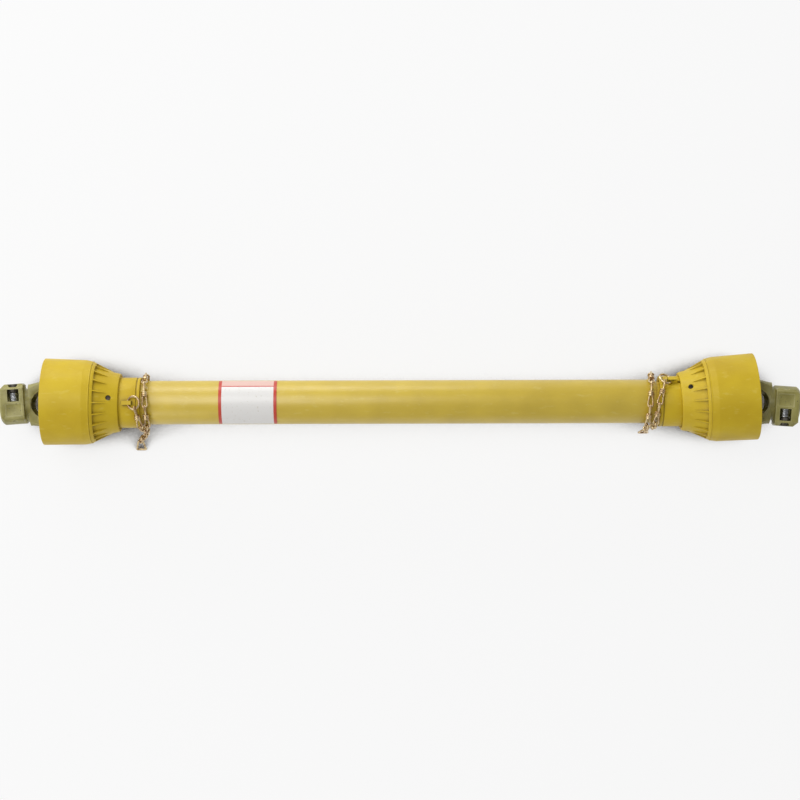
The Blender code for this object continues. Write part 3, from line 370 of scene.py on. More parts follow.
def painted_forging(name, pale, deep, rubbed, bare):
    """Olive paint over a drop forging: pebbly scale, pale edges (rubbed paint and painted
    highlight), chips to dark steel.
    """
    made, tree, shader, place = start_material(name, 0.42)
    clouds = speckle(tree, place, 14 * MM, 3)
    chips = speckle(tree, place, 2.6 * MM, 5, low=0.66, high=0.70)
    base = between(tree, clouds, colour(pale), colour(deep))
    # Pale edges: partly paint rubbed by handling, partly a painted highlight.
    edged = between(tree, rubbed_and_highlit_edges(tree), base, colour(rubbed))
    tree.links.new(between(tree, chips, edged, colour(bare)), shader.inputs["Base Color"])
    tree.links.new(ranged(tree, chips, 0.38, 0.6), shader.inputs["Roughness"])
    scale = speckle(tree, place, 2.2 * MM, 4)
    relief(tree, shader, (clouds, 0.0002), (scale, 0.00008))
    return made


def metal(name, pale, deep, low_rough, high_rough, grain, stretch):
    """Bare or plated steel: fine drawn or ground lines, patches of duller plating."""
    made, tree, shader, place = start_material(name, low_rough, 1.0)
    patches = speckle(tree, place, 6 * MM, 4)
    tree.links.new(
        between(tree, patches, colour(pale), colour(deep)), shader.inputs["Base Color"]
    )
    tree.links.new(ranged(tree, patches, low_rough, high_rough), shader.inputs["Roughness"])
    relief(tree, shader, (speckle(tree, place, grain, 3, stretch), 0.00002))
    return made


def cast_nylon(name):
    """Moulded nylon: milky white, slightly greased where it turns."""
    made, tree, shader, place = start_material(name, 0.4)
    smears = speckle(tree, place, 7 * MM, 4)
    tree.links.new(
        between(tree, smears, colour("DEDBD0"), colour("C9C3AE")), shader.inputs["Base Color"]
    )
    tree.links.new(ranged(tree, smears, 0.32, 0.55), shader.inputs["Roughness"])
    relief(tree, shader, (speckle(tree, place, 1 * MM), 0.00002))
    return made


def past(tree, value, start):
    """1 where a value lies past a start, with a fine soft edge."""
    inputs = {"Value": value, "From Min": start - PRINT_EDGE, "From Max": start + PRINT_EDGE}
    return add(tree, "ShaderNodeMapRange", inputs).outputs["Result"]


def printed_vinyl(name):
    """Printed vinyl sticker: white field, a pale band over a red rule, red bars at its ends."""
    made, tree, shader, place = start_material(name, 0.34)
    parts = add(tree, "ShaderNodeSeparateXYZ", {0: place}).outputs
    middle = -HALF_LENGTH - (LABEL_START + LABEL_END) / 2
    half = (LABEL_START - LABEL_END) / 2
    from_middle = add(tree, "ShaderNodeMath", {0: parts["X"], 1: middle}, operation="SUBTRACT")
    away = add(tree, "ShaderNodeMath", {0: from_middle.outputs[0]}, operation="ABSOLUTE")
    bars = past(tree, away.outputs[0], half - LABEL_BAR)
    band = past(tree, parts["Y"], LABEL_BAND)
    above_rule = past(tree, parts["Y"], LABEL_BAND + LABEL_RULE)
    inputs = {0: band, 1: above_rule}
    rule = add(tree, "ShaderNodeMath", inputs, operation="SUBTRACT").outputs[0]
    red = add(tree, "ShaderNodeMath", {0: bars, 1: rule}, operation="MAXIMUM").outputs[0]
    wear = speckle(tree, place, 3 * MM, 5, low=0.62, high=0.74)
    white = between(tree, wear, colour("E4E2DF"), colour("D3CEC4"))
    field = between(tree, above_rule, white, colour("E2BDB2"))
    ink = between(tree, wear, colour("C4493A"), colour("CF8070"))
    tree.links.new(between(tree, red, field, ink), shader.inputs["Base Color"])
    tree.links.new(ranged(tree, wear, 0.30, 0.5), shader.inputs["Roughness"])
    relief(tree, shader, (speckle(tree, place, 4 * MM, 2), 0.00004))
    return made


def make_finishes():
    """Every finish, with what each gives the eye."""
    wide, along = (1, 1, 1), (0.08, 1, 1)
    return {
        # Warm yellow, waxy: a broad soft highlight with slightly uneven edges.
        "guard": moulded_plastic(
            "moulded yellow polyethylene", "CEB11C", "C2A316", "D8C35A", 0.44, 0.56, 0.38
        ),
        # The same yellow drawn as a tube: glossier, so its highlight runs pale along the top.
        "tube guard": moulded_plastic(
            "drawn yellow polyethylene", "D0B433", "C4A82D", "D8C668", 0.34, 0.42, 0.95
        ),
        # Olive, half gloss, pale edges partly rubbed and partly painted highlight, small dark
        # chips, the forging's pebbles.
        "yoke": painted_forging(
            "olive painted forging", "9A9352", "837C3E", "B9B382", "4A4636"
        ),
        # Grey, lightly drawn along its length.
        "tube": metal("drawn steel tube", "9A9C9E", "7C7E80", 0.30, 0.45, 0.8 * MM, along),
        # Bright, with a tight highlight.
        "bright": metal("ground bright steel", "D2D4D6", "A9ABAD", 0.16, 0.30, 0.6 * MM, wide),
        # Cool grey, slightly blotchy.
        "zinc": metal("zinc plated steel", "B4B2AA", "8F8D86", 0.26, 0.42, 0.9 * MM, wide),
        # Pale gold to rosy sheen of yellow chromate.
        "chain": metal("yellow chromated wire", "E6D2A4", "B08F6A", 0.22, 0.38, 1.1 * MM, wide),
        # Darkened steel as painted shade, so each screw reads as a dark spot, like a shadowed hole.
        "dark": metal("steel darkened as painted shade", "5A5146", "37312A", 0.35, 0.55, 0.9 * MM, wide),
        # Phosphated grey, dull, so the bright coils stand out against the push pin.
        "pin": metal("phosphated steel", "6E6A62", "4A463F", 0.42, 0.60, 0.9 * MM, wide),
        # Milky white inside the cone.
        "nylon": cast_nylon("moulded nylon"),
        # White sticker with red edges, a thin film with soft gloss.
        "label": printed_vinyl("printed vinyl sticker"),
    }


def deselect():
    """Leaves nothing selected, so an operator acts only on what comes next."""
    if bpy.context.mode != "OBJECT":
        bpy.ops.object.mode_set(mode="OBJECT")
    bpy.ops.object.select_all(action="DESELECT")


def pick(made):
    """Selects one object and makes it the active one."""
    deselect()
    made.select_set(True)
    bpy.context.view_layer.objects.active = made


def close_up(made):
    """Merges doubles and points the faces outward."""
    pick(made)
    bpy.ops.object.mode_set(mode="EDIT")
    bpy.ops.mesh.select_all(action="SELECT")
    bpy.ops.mesh.remove_doubles(threshold=MERGE_NEW)
    bpy.ops.mesh.normals_make_consistent(inside=False)
    bpy.ops.object.mode_set(mode="OBJECT")
    return made


def turned(name, profile, sides):
    """A ring drawn out station by station along the shaft and closed into a solid."""
    deselect()
    x, radius = profile[0]
    bpy.ops.mesh.primitive_circle_add(
        vertices=sides, radius=radius, location=(x, 0, 0), rotation=(0, math.pi / 2, 0)
    )
    made = bpy.context.active_object
    made.name = name
    bpy.ops.object.transform_apply(location=True, rotation=True, scale=True)
    bpy.ops.object.mode_set(mode="EDIT")
    bpy.ops.mesh.select_mode(type="EDGE")
    bpy.ops.mesh.select_all(action="SELECT")
    for next_x, next_radius in profile[1:]:
        bpy.ops.mesh.extrude_region_move(TRANSFORM_OT_translate={"value": (next_x - x, 0, 0)})
        factor = next_radius / radius
        bpy.ops.transform.resize(value=(1, factor, factor), center_override=(next_x, 0, 0))
        x, radius = next_x, next_radius
    bpy.ops.mesh.select_all(action="DESELECT")
    bpy.ops.mesh.select_non_manifold()
    bpy.ops.mesh.bridge_edge_loops()
    return close_up(made)


def block(name, low, high, planes=()):
    """A box between two corners, with a piece sliced off at each plane (point, outward way)."""
    deselect()
    centre = [(a + b) / 2 for a, b in zip(low, high)]
    size = [b - a for a, b in zip(low, high)]
    bpy.ops.mesh.primitive_cube_add(size=1, location=centre, scale=size)
    made = bpy.context.active_object
    made.name = name
    bpy.ops.object.transform_apply(location=True, rotation=True, scale=True)
    bpy.ops.object.mode_set(mode="EDIT")
    for point, way in planes:
        bpy.ops.mesh.select_all(action="SELECT")
        bpy.ops.mesh.bisect(plane_co=point, plane_no=way, use_fill=True, clear_outer=True)
    return close_up(made)


def rod(name, axis, radius, low, high, sides, centre=(0, 0, 0)):
    """A straight round bar along Y or Z, as a tool or the start of a piece."""
    deselect()
    turns = {"Y": (math.pi / 2, 0, 0), "Z": (0, 0, 0)}
    way = {"Y": Vector((0, 1, 0)), "Z": Vector((0, 0, 1))}[axis]
    middle = Vector(centre) + way * (low + high) / 2
    bpy.ops.mesh.primitive_cylinder_add(
        vertices=sides, radius=radius, depth=high - low, location=middle, rotation=turns[axis]
    )
    made = bpy.context.active_object
    made.name = name
    bpy.ops.object.transform_apply(location=True, rotation=True, scale=True)
    return made


def apply_modifier(made, kind, **settings):
    """Adds a modifier and applies it."""
    pick(made)
    change = made.modifiers.new(kind.lower(), kind)
    for key, value in settings.items():
        setattr(change, key, value)
    bpy.ops.object.modifier_apply(modifier=change.name)
    return made


def combine(made, tool, operation):
    """Joins a tool to a piece or cuts it away, and removes the tool."""
    apply_modifier(made, "BOOLEAN", operation=operation, solver="EXACT", object=tool)
    spare = tool.data
    bpy.data.objects.remove(tool, do_unlink=True)
    bpy.data.meshes.remove(spare)
    return made


def softened(made, width, segments=2, degrees=28):
    """Rounds every edge sharper than the angle."""
    return apply_modifier(
        made,
        "BEVEL",
        width=width,
        segments=segments,
        limit_method="ANGLE",
        angle_limit=math.radians(degrees),
    )


def copied(made, place):
    """Another of the same piece, with its own mesh carried to its place."""
    twin = made.copy()
    twin.data = made.data.copy()
    twin.data.transform(place)
    bpy.context.scene.collection.objects.link(twin)
    return twin


def merged(name, pieces):
    """Several pieces as one object."""
    deselect()
    for piece in pieces:
        piece.select_set(True)
    bpy.context.view_layer.objects.active = pieces[0]
    bpy.ops.object.join()
    made = bpy.context.active_object
    made.name = name
    return made


def around(degrees):
    """Turn about the shaft, positive from +Z towards +Y."""
    return Matrix.Rotation(math.radians(-degrees), 4, "X")


def upright_turn(degrees, x=0.0):
    """Turn about an upright line through the shaft's axis at a station."""
    turn = Matrix.Rotation(math.radians(degrees), 4, "Z")
    return Matrix.Translation((x, 0, 0)) @ turn @ Matrix.Translation((-x, 0, 0))


def side_place(side):
    """Matrix from a side frame to the whole part's frame."""
    half = HALVES[side]
    x = HALF_LENGTH if side == "right" else -HALF_LENGTH
    turn = Matrix.Rotation(math.radians(half["turn"]), 4, "Z")
    return Matrix.Translation((x, 0, AXIS_HEIGHT)) @ turn


def lean_place(side):
    """Side frame with the small lean of the bell and cone."""
    middle = (CONE_END + CONE_SHOULDER) / 2
    return side_place(side) @ upright_turn(HALVES[side]["lean"], middle)


def set_down(made, place, body, slot, finish, *nodes, degrees=32):
    """Carries a finished piece to its place and gives it its finish and its body."""
    made.data.transform(place)
    made.data.materials.clear()
    made.data.materials.append(finish)
    pick(made)
    bpy.ops.object.shade_smooth_by_angle(angle=math.radians(degrees))
    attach(made, body)
    if nodes:
        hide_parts(*nodes)


def make_bell(side, finish):
    """Skirt of the guard: a slightly flared wall that narrows to a lip round the cone."""
    profile = [
        (BELL_OVERHANG, BELL_RIM_RADIUS - GUARD_WALL),
        (BELL_OVERHANG, BELL_RIM_RADIUS),
        (BELL_TAPER_START, BELL_NECK_RADIUS),
        (BELL_TAPER_END, BELL_LIP_RADIUS),
        (BELL_END, BELL_LIP_RADIUS),
        (BELL_END, BELL_LIP_INNER),
        (BELL_TAPER_END, BELL_LIP_INNER),
        (BELL_TAPER_START, BELL_NECK_RADIUS - GUARD_WALL),
    ]
    bell = softened(turned(f"bell_{side}", profile, GUARD_SIDES), BELL_ROUNDING, 3, 20)
    place, node = lean_place(side), f"guard_bell_{side}"
    set_down(bell, place, f"guard_{side}", "guard_plastic", finish, node, degrees=6)


def crest_radius(x):
    """Radius of the cone's rib crests at a station."""
    share = (x - CONE_SHOULDER) / (CONE_START - CONE_SHOULDER)
    return CONE_SHOULDER_RADIUS + share * (CONE_RING_RADIUS - CONE_SHOULDER_RADIUS)


def inner_radius(x):
    """Radius of the cone's inside at a station."""
    share = (x - COLLAR_START) / (CONE_START - COLLAR_START)
    return CONE_INNER_NARROW + share * (CONE_INNER_WIDE - CONE_INNER_NARROW)


def pocket_tool():
    """Wedge that cuts one pocket between two ribs, deepest at the wide end."""
    floor = crest_radius(CONE_RING_BACK) - POCKET_DEPTH
    rise = crest_radius(POCKET_END) - floor
    run = POCKET_END - CONE_RING_BACK
    half_pitch = math.pi / RIB_COUNT
    lift = RIB_WIDTH / 2 / math.sin(half_pitch)
    across, up = math.cos(half_pitch), math.sin(half_pitch)
    planes = [
        ((CONE_RING_BACK, 0, floor), (-rise, 0, run)),
        ((0, 0, lift), (0, across, -up)),
        ((0, 0, lift), (0, -across, -up)),
    ]
    low = (POCKET_END - MM, -POCKET_HALF, floor - POCKET_DEPTH * 3)
    high = (CONE_RING_BACK, POCKET_HALF, CONE_RING_RADIUS + POCKET_DEPTH)
    return block("pocket", low, high, planes)


def make_cone(side, finish):
    """Ribbed cone: plain at its wide edge, pockets between ribs, then a shoulder and small end."""
    spigot_radius = BELL_LIP_INNER - GAP
    spigot_inner = spigot_radius - GUARD_WALL
    collar_bore = COLLAR_RADIUS + COLLAR_PLAY
    profile = [
        (CONE_START + CONE_SPIGOT, spigot_inner),
        (CONE_START + CONE_SPIGOT, spigot_radius),
        (CONE_START, spigot_radius),
        (CONE_START, CONE_RING_RADIUS),
        (CONE_SHOULDER, CONE_SHOULDER_RADIUS),
        (CONE_END + CONE_EDGE, CONE_END_RADIUS),
        (CONE_END, CONE_END_RADIUS - CONE_EDGE / 2),
        (CONE_END, collar_bore),
        (COLLAR_START, collar_bore),
        (COLLAR_START, CONE_INNER_NARROW),
        (CONE_RING_BACK, inner_radius(CONE_RING_BACK)),
        (CONE_START, spigot_inner),
    ]
    cone = turned(f"cone_{side}", profile, CONE_SIDES)
    pocket = pocket_tool()
    pitch = 360 / RIB_COUNT
    tools = [copied(pocket, around(pitch * (i + 0.5))) for i in range(RIB_COUNT)]
    bpy.data.objects.remove(pocket, do_unlink=True)
    combine(cone, merged("pockets", tools), "DIFFERENCE")
    for step in SCREW_STEPS:
        radius = SCREW_HEAD_RADIUS + GAP
        hole = rod("hole", "Z", radius, *SCREW_HOLE_ENDS, HOLE_SIDES, (SCREW_AT, 0, 0))
        hole.data.transform(around(HALVES[side]["screws"] + step))
        combine(cone, hole, "DIFFERENCE")
    close_up(cone)
    softened(cone, CONE_ROUNDING)
    set_down(cone, lean_place(side), f"guard_{side}", "guard_plastic", finish, f"guard_cone_{side}")


def make_screws(side, finish):
    """Slotted pan head screws sunk in the cone."""
    base = inner_radius(SCREW_AT + SCREW_HEAD_RADIUS)
    top = base + SCREW_HEAD_HEIGHT
    for index, step in enumerate(SCREW_STEPS):
        head = rod("head", "Z", SCREW_HEAD_RADIUS, base, top, HOLE_SIDES)
        ends = (base - SCREW_LENGTH, base + MM)
        combine(head, rod("shank", "Z", SCREW_SHANK_RADIUS, *ends, SHANK_SIDES), "UNION")
        slot_low = (-SCREW_SLOT_REACH, -SCREW_SLOT_HALF, top - SCREW_SLOT_DEPTH)
        slot_high = (SCREW_SLOT_REACH, SCREW_SLOT_HALF, top + MM)
        combine(head, block("slot", slot_low, slot_high), "DIFFERENCE")
        softened(head, SCREW_ROUNDING, 3, 40)
        turn = around(HALVES[side]["screws"] + step) @ Matrix.Translation((SCREW_AT, 0, 0))
        slot_turn = SCREW_SLOT_TURN + SCREW_SLOT_TURN_STEP * index
        turn = turn @ Matrix.Rotation(math.radians(slot_turn), 4, "Z")
        head.name = f"screw_{side}_{index + 1}"
        node = f"guard_screw_{side}_{index + 1}"
        set_down(head, lean_place(side) @ turn, f"guard_{side}", "zinc_steel", finish, node)


def make_collar(side, finish):
    """Collar on the guard tube's end, with its end groove and the lug of the chain ring."""
    tube_radius = TUBES[side][0]
    groove_low = COLLAR_END + COLLAR_LIP
    groove_high = groove_low + COLLAR_GROOVE
    groove_radius = COLLAR_RADIUS - COLLAR_GROOVE_DEPTH
    profile = [
        (COLLAR_START, tube_radius + GAP),
        (COLLAR_START, COLLAR_RADIUS),
        (groove_high, COLLAR_RADIUS),
        (groove_high, groove_radius),
        (groove_low, groove_radius),
        (groove_low, COLLAR_RADIUS),
        (COLLAR_END, COLLAR_RADIUS),
        (COLLAR_END, tube_radius + GAP),
    ]
    collar = turned(f"collar_{side}", profile, GUARD_SIDES)
    softened(collar, COLLAR_ROUNDING, 2, 40)
    half = LUG_WIDTH / 2
    slope = (LUG_BACK, 0, COLLAR_RADIUS + GUARD_WALL / 2)
    rise = LUG_TOP - slope[2]
    planes = [(slope, (rise, 0, LUG_SLOPE))]
    lug = block(
        "lug", (LUG_FRONT, -half, COLLAR_RADIUS - MM), (LUG_BACK, half, LUG_TOP), planes
    )
    softened(lug, LUG_ROUNDING, 3, 30)
    centre = (RING_AT, 0, RING_HEIGHT)
    hole = rod("eye", "Y", LUG_HOLE_RADIUS, -LUG_WIDTH, LUG_WIDTH, HOLE_SIDES, centre)
    lug.data.transform(around(HALVES[side]["lug"]))
    hole.data.transform(around(HALVES[side]["lug"]))
    combine(collar, lug, "UNION")
    combine(collar, hole, "DIFFERENCE")
    close_up(collar)
    node = f"guard_collar_{side}"
    set_down(collar, side_place(side), f"guard_{side}", "guard_plastic", finish, node)


def make_tube(side, finish):
    """Round guard tube."""
    radius, end = TUBES[side]
    bore = radius - TUBE_WALL
    profile = [(TUBE_START, bore), (TUBE_START, radius), (end, radius), (end, bore)]
    tube = softened(turned(f"tube_{side}", profile, GUARD_SIDES), TUBE_ROUNDING)
    node = f"guard_tube_{side}"
    set_down(tube, side_place(side), f"guard_{side}", "guard_plastic", finish, node)


def make_label(finish):
    """Blank sticker bent round the upper side of the left guard tube."""
    low, high = LABEL_RADIUS, LABEL_RADIUS + LABEL_THICKNESS
    profile = [(LABEL_START, low), (LABEL_START, high), (LABEL_END, high), (LABEL_END, low)]
    label = turned("sticker", profile, STICKER_SIDES)
    pick(label)
    bpy.ops.object.mode_set(mode="EDIT")
    for way in (-1, 1):
        turn = math.radians(LABEL_REACH)
        outward = (0, way * math.cos(turn), -math.sin(turn))
        bpy.ops.mesh.select_all(action="SELECT")
        bpy.ops.mesh.bisect(plane_co=(0, 0, 0), plane_no=outward, use_fill=True, clear_outer=True)
    close_up(label)
    set_down(label, side_place("left"), "guard_left", "sticker", finish, "label")


def wire(name, points, radius, closed=True, sides=10):
    """Round wire through the points, as a mesh."""
    deselect()
    curve = bpy.data.curves.new(name, "CURVE")
    curve.dimensions = "3D"
    curve.bevel_depth = radius
    curve.bevel_resolution = (sides - 4) // 2
    curve.use_fill_caps = not closed
    line = curve.splines.new("POLY")
    line.points.add(len(points) - 1)
    for point, place in zip(line.points, points):
        point.co = (*place, 1)
    line.use_cyclic_u = closed
    made = bpy.data.objects.new(name, curve)
    bpy.context.scene.collection.objects.link(made)
    pick(made)
    bpy.ops.object.convert(target="MESH")
    return close_up(bpy.context.active_object)


def arc(a, b, radius, first, last, steps):
    """Points on a circle about (a, b), from one angle to another in degrees."""
    turns = [math.radians(first + (last - first) * i / steps) for i in range(steps + 1)]
    return [(a + radius * math.cos(t), b + radius * math.sin(t)) for t in turns]


def eye(way, flat):
    """One long eye of a link, out from its knot; flat lies it across instead of upright."""
    far = LINK_HALF - EYE_HALF_WIDTH
    outline = arc(far, 0, EYE_HALF_WIDTH, -90, 90, 14) + arc(0, 0, EYE_ROOT, 120, 240, 4)
    points = [Vector((b, 0, way * a) if flat else (0, b, way * a)) for a, b in outline]
    return wire("eye", points, DRAWN_WIRE)


def knot():
    """The wire's own wraps round the middle of a link."""
    points = []
    for step in range(KNOT_STEPS + 1):
        share = step / KNOT_STEPS
        angle = 2 * math.pi * KNOT_TURNS * share
        reach = KNOT_RADIUS + KNOT_BULGE * math.sin(math.pi * share)
        z = (share - 0.5) * 2 * (KNOT_HALF - CHAIN_WIRE * 0.6)
        points.append(Vector((reach * math.cos(angle), reach * math.sin(angle), z)))
    return wire("wraps", points, DRAWN_WIRE, closed=False)


def smooth_route(points, steps=12):
    """Close points on a smooth curve through the route's own points."""
    padded = [2 * points[0] - points[1], *points, 2 * points[-1] - points[-2]]
    dense = []
    for before, here, there, after in zip(padded, padded[1:], padded[2:], padded[3:]):
        for step in range(steps):
            t = step / steps
            bend = 2 * before - 5 * here + 4 * there - after
            twist = -before + 3 * here - 3 * there + after
            dense.append(0.5 * (2 * here + (there - before) * t + bend * t**2 + twist * t**3))
    return dense + [points[-1]]


def joints_along(points, pitch):
    """Places one pitch apart, measured straight from one to the next."""
    dense = smooth_route(points)
    places = [dense[0]]
    for here, there in zip(dense, dense[1:]):
        while (there - places[-1]).length >= pitch and (here - places[-1]).length < pitch:
            low, high = 0.0, 1.0
            for _ in range(30):
                middle = (low + high) / 2
                if (here.lerp(there, middle) - places[-1]).length < pitch:
                    low = middle
                else:
                    high = middle
            places.append(here.lerp(there, high))
    return places


def ring_frame(side):
    """Frame of the chain ring where it passes through the lug."""
    pivot = Matrix.Translation((RING_AT, 0, RING_HEIGHT))
    return around(HALVES[side]["lug"]) @ pivot @ Matrix.Rotation(math.radians(RING_TILT), 4, "Y")


def make_ring(side, finish):
    """Round ring through the collar's lug."""
    last = 360 - 360 / RING_POINTS
    outline = arc(-RING_RADIUS, 0, RING_RADIUS, 0, last, RING_POINTS - 1)
    ring = wire(f"ring_{side}", [Vector((a, b, 0)) for a, b in outline], RING_WIRE, True, 12)
    place = side_place(side) @ ring_frame(side)
    node = f"chain_ring_{side}"
    set_down(ring, place, f"guard_{side}", "chain_steel", finish, node, degrees=60)


def link_joints(side):
    """The places where one link hangs in the next, from the ring to the tail's end."""
    half = HALVES[side]
    angle = math.radians(180 - half["way"] * RING_LINK_TURN)
    out = Vector((math.cos(angle), math.sin(angle), 0))
    start = ring_frame(side) @ (Vector((-RING_RADIUS, 0, 0)) + out * RING_RADIUS)
    route = []
    for station, degrees, radius in half["winding"]:
        turn = math.radians(degrees)
        away = Vector((0, half["way"] * math.sin(turn), math.cos(turn)))
        route.append(Vector((COLLAR_END - station, 0, 0)) + radius * away)
    route += [Vector((COLLAR_END - station, y, z - AXIS_HEIGHT)) for station, y, z in half["tail"]]
    back = EYE_HALF_WIDTH - CHAIN_WIRE + LINK_OVERLAP / 2
    route.insert(0, start - back * (route[0] - start).normalized())
    return joints_along(route, 2 * LINK_HALF - 2 * CHAIN_WIRE + LINK_OVERLAP)


def make_chain(side, finish):
    """Knotted wire chain: each link has two long eyes, a quarter turn apart, and a wrapped knot."""
    joints = link_joints(side)
    pairs = list(zip(joints, joints[1:]))
    pattern = merged("link", [eye(-1, False), eye(1, True), knot()])
    last_pattern = merged("last_link", [eye(-1, False), eye(1, False), knot()])
    links = []
    for start, end in pairs:
        centre = (start + end) / 2
        ahead = (end - start).normalized()
        away = Vector((0, centre.y, centre.z))
        away = (away - ahead * away.dot(ahead)).normalized()
        across = ahead.cross(away)
        frame_turn = Matrix((across, away, ahead)).transposed().to_4x4()
        model = last_pattern if end is pairs[-1][1] else pattern
        links.append(copied(model, Matrix.Translation(centre) @ frame_turn))
    for spare in (pattern, last_pattern):
        bpy.data.objects.remove(spare, do_unlink=True)
    chain = merged(f"knotted_chain_{side}", links)
    node = f"chain_{side}"
    set_down(chain, side_place(side), f"guard_{side}", "chain_steel", finish, node, degrees=60)
    make_hook(side, finish, *pairs[-1])


def make_hook(side, finish, start, end):
    """Three-cornered wire hook on the chain's end."""
    ahead = (end - start).normalized()
    level = Vector(HALVES[side]["hook_aim"]).normalized()
    across = Vector((1, 0, 0))
    nose = 2 * CHAIN_WIRE + 3 * GAP
    base = (start + end) / 2 + ahead * (LINK_HALF - nose) + level * nose
    corner = HOOK_WIDTH / 2 - CHAIN_WIRE
    outline = arc(0, 0, nose, 120, 240, 8)
    outline += arc(HOOK_LENGTH, -corner, CHAIN_WIRE, 230, 350, 6)
    outline += arc(HOOK_LENGTH, corner, CHAIN_WIRE, 10, 130, 6)
    points = [base + level * a + across * b for a, b in outline]
    hook = wire(f"hook_{side}", points, CHAIN_WIRE, True, 12)
    node = f"chain_hook_{side}"
    set_down(hook, side_place(side), f"guard_{side}", "chain_steel", finish, node, degrees=60)


def make_spring(side, finish):
    """Coil spring of the push pin."""
    radius = PIN_RADIUS + GAP + SPRING_WIRE
    points = []
    for step in range(SPRING_STEPS + 1):
        share = step / SPRING_STEPS
        angle = 2 * math.pi * SPRING_TURNS * share
        y = SPRING_BACK + (SPRING_FRONT - SPRING_BACK) * share
        x = PIN_AT + radius * math.cos(angle)
        points.append(Vector((x, y, PIN_HEIGHT + radius * math.sin(angle))))
    spring = wire(f"spring_{side}", points, SPRING_WIRE, closed=False)
    place = side_place(side) @ upright_turn(HALVES[side]["tilt"])
    node = f"pin_spring_{side}"
    set_down(spring, place, f"yoke_{side}", "bright_steel", finish, node, degrees=60)
    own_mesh(spring)


def refine(node, width, slot, finish, degrees=30):
    """A copy of a steel piece with its edges rounded as forging or turning leaves them."""
    source = frame["nodes"][node]
    made = source.copy()
    made.data = source.data.copy()
    made.name = f"{node}_finished"
    for key in list(made.keys()):
        del made[key]
    bpy.context.scene.collection.objects.link(made)
    made.parent = None
    pick(made)
    bpy.ops.mesh.customdata_custom_splitnormals_clear()
    bpy.ops.object.mode_set(mode="EDIT")
    bpy.ops.mesh.select_all(action="SELECT")
    bpy.ops.mesh.remove_doubles(threshold=MERGE_CAD)
    bpy.ops.mesh.dissolve_limited(angle_limit=math.radians(FLAT_ANGLE))
    bpy.ops.object.mode_set(mode="OBJECT")
    softened(made, width, 2, degrees)
    set_down(made, Matrix.Identity(4), source["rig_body"], slot, finish, node, degrees=35)


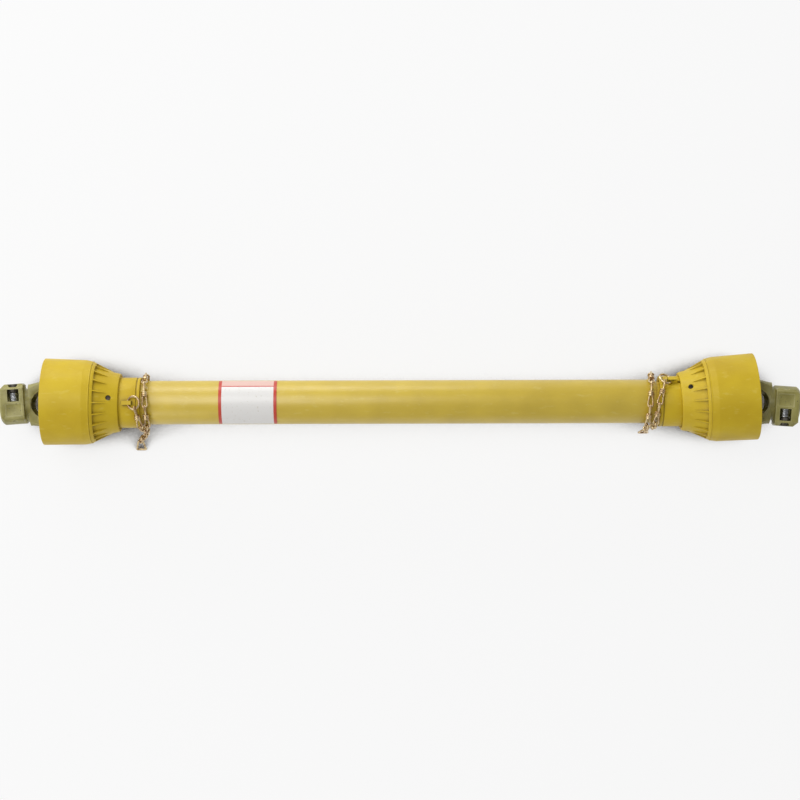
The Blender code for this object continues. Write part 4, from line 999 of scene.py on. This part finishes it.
def make_stage():
    """Pale floor with a painted shadow, soft studio light and the camera above the shaft."""
    deselect()
    bpy.ops.mesh.primitive_plane_add(size=FLOOR_SIZE, location=(0, 0, 0))
    floor = bpy.context.active_object
    floor.name = "floor"
    made, tree, shader, _ = start_material("pale studio floor", 0.9)
    shader.inputs["Specular IOR Level"].default_value = 0.1
    seen = add(tree, "ShaderNodeLightPath").outputs
    glow = add(tree, "ShaderNodeEmission", {"Color": colour("FBFBFB"), "Strength": 1.0})
    # Painted shadow: where the part closes in the sky above the floor, its colour darkens to brown
    # and its glow fades.
    inputs = {"Distance": FLOOR_REACH}
    open_sky = add(tree, "ShaderNodeAmbientOcclusion", inputs, samples=FLOOR_SAMPLES)
    inputs = {"Value": open_sky.outputs["AO"], "From Min": FLOOR_CLOSED, "From Max": FLOOR_OPEN}
    reached = add(tree, "ShaderNodeMapRange", inputs).outputs["Result"]
    shade = between(tree, reached, colour("43382A"), colour("F4F4F4"))
    tree.links.new(shade, shader.inputs["Base Color"])
    inputs = {0: seen["Is Camera Ray"], 1: seen["Is Glossy Ray"]}
    rays = add(tree, "ShaderNodeMath", inputs, operation="MAXIMUM")
    lit = add(tree, "ShaderNodeMath", {0: reached, 1: FLOOR_GLOW}, operation="MULTIPLY")
    inputs = {0: rays.outputs[0], 1: lit.outputs[0]}
    share = add(tree, "ShaderNodeMath", inputs, operation="MULTIPLY")
    inputs = {0: share.outputs[0], 1: shader.outputs[0], 2: glow.outputs[0]}
    mixed = add(tree, "ShaderNodeMixShader", inputs)
    output = tree.nodes["Material Output"]
    tree.links.new(mixed.outputs[0], output.inputs["Surface"])
    floor.data.materials.append(made)

    world = bpy.data.worlds.new("studio")
    bpy.context.scene.world = world
    world.use_nodes = True
    tree = world.node_tree
    back = tree.nodes["Background"]
    back.inputs["Color"].default_value = colour("FFFFFF")
    seen = add(tree, "ShaderNodeLightPath").outputs
    level = ranged(tree, seen["Is Camera Ray"], SKY_LIGHT, 1.0)
    tree.links.new(level, back.inputs["Strength"])

    for name, place, size, power in LAMPS:
        light = bpy.data.lights.new(name, "AREA")
        light.shape = "RECTANGLE"
        light.size, light.size_y = size
        light.energy = power
        lamp = bpy.data.objects.new(name, light)
        lamp.location = place
        lamp.rotation_euler = (-Vector(place)).to_track_quat("-Z", "Y").to_euler()
        bpy.context.scene.collection.objects.link(lamp)

    lens = bpy.data.cameras.new("camera")
    lens.sensor_width = SENSOR_WIDTH
    lens.angle = math.radians(CAMERA_VIEW)
    camera = bpy.data.objects.new("camera", lens)
    camera.location = (0, CAMERA_SHIFT_Y, CAMERA_HEIGHT)
    camera.rotation_euler = (0, 0, math.radians(CAMERA_ROLL))
    bpy.context.scene.collection.objects.link(camera)
    bpy.context.scene.camera = camera
    bpy.context.scene.view_settings.view_transform = "Standard"


finishes = make_finishes()
make_stage()
for side in HALVES:
    make_bell(side, finishes["guard"])
    make_cone(side, finishes["guard"])
    make_screws(side, finishes["dark"])
    make_collar(side, finishes["guard"])
    make_tube(side, finishes["tube guard"])
    make_ring(side, finishes["chain"])
    make_chain(side, finishes["chain"])
    make_spring(side, finishes["bright"])
    refine(f"outer_yoke_{side}", YOKE_ROUNDING, "yoke_paint", finishes["yoke"])
    refine(f"inner_yoke_{side}", YOKE_ROUNDING, "yoke_paint", finishes["yoke"])
    refine(f"cross_{side}", CROSS_ROUNDING, "bright_steel", finishes["bright"])
    refine(f"push_pin_{side}", PUSH_PIN_ROUNDING, "bright_steel", finishes["pin"])
    refine(f"grease_nipple_{side}", NIPPLE_ROUNDING, "zinc_steel", finishes["zinc"])
    for place in ("y_plus", "y_minus", "z_plus", "z_minus"):
        refine(f"cap_{side}_{place}", CAP_ROUNDING, "bright_steel", finishes["bright"])
make_label(finishes["label"])

# The nodes that stay as the CAD made them, by the start of their names.
KEPT = {
    "snap_ring": "zinc", "roll_pin": "zinc", "profile_tube": "tube", "guard_bearing": "nylon",
}
for name, node in frame["nodes"].items():
    for start, finish in KEPT.items():
        if name.startswith(start):
            for slot in node.material_slots:
                slot.material = finishes[finish]
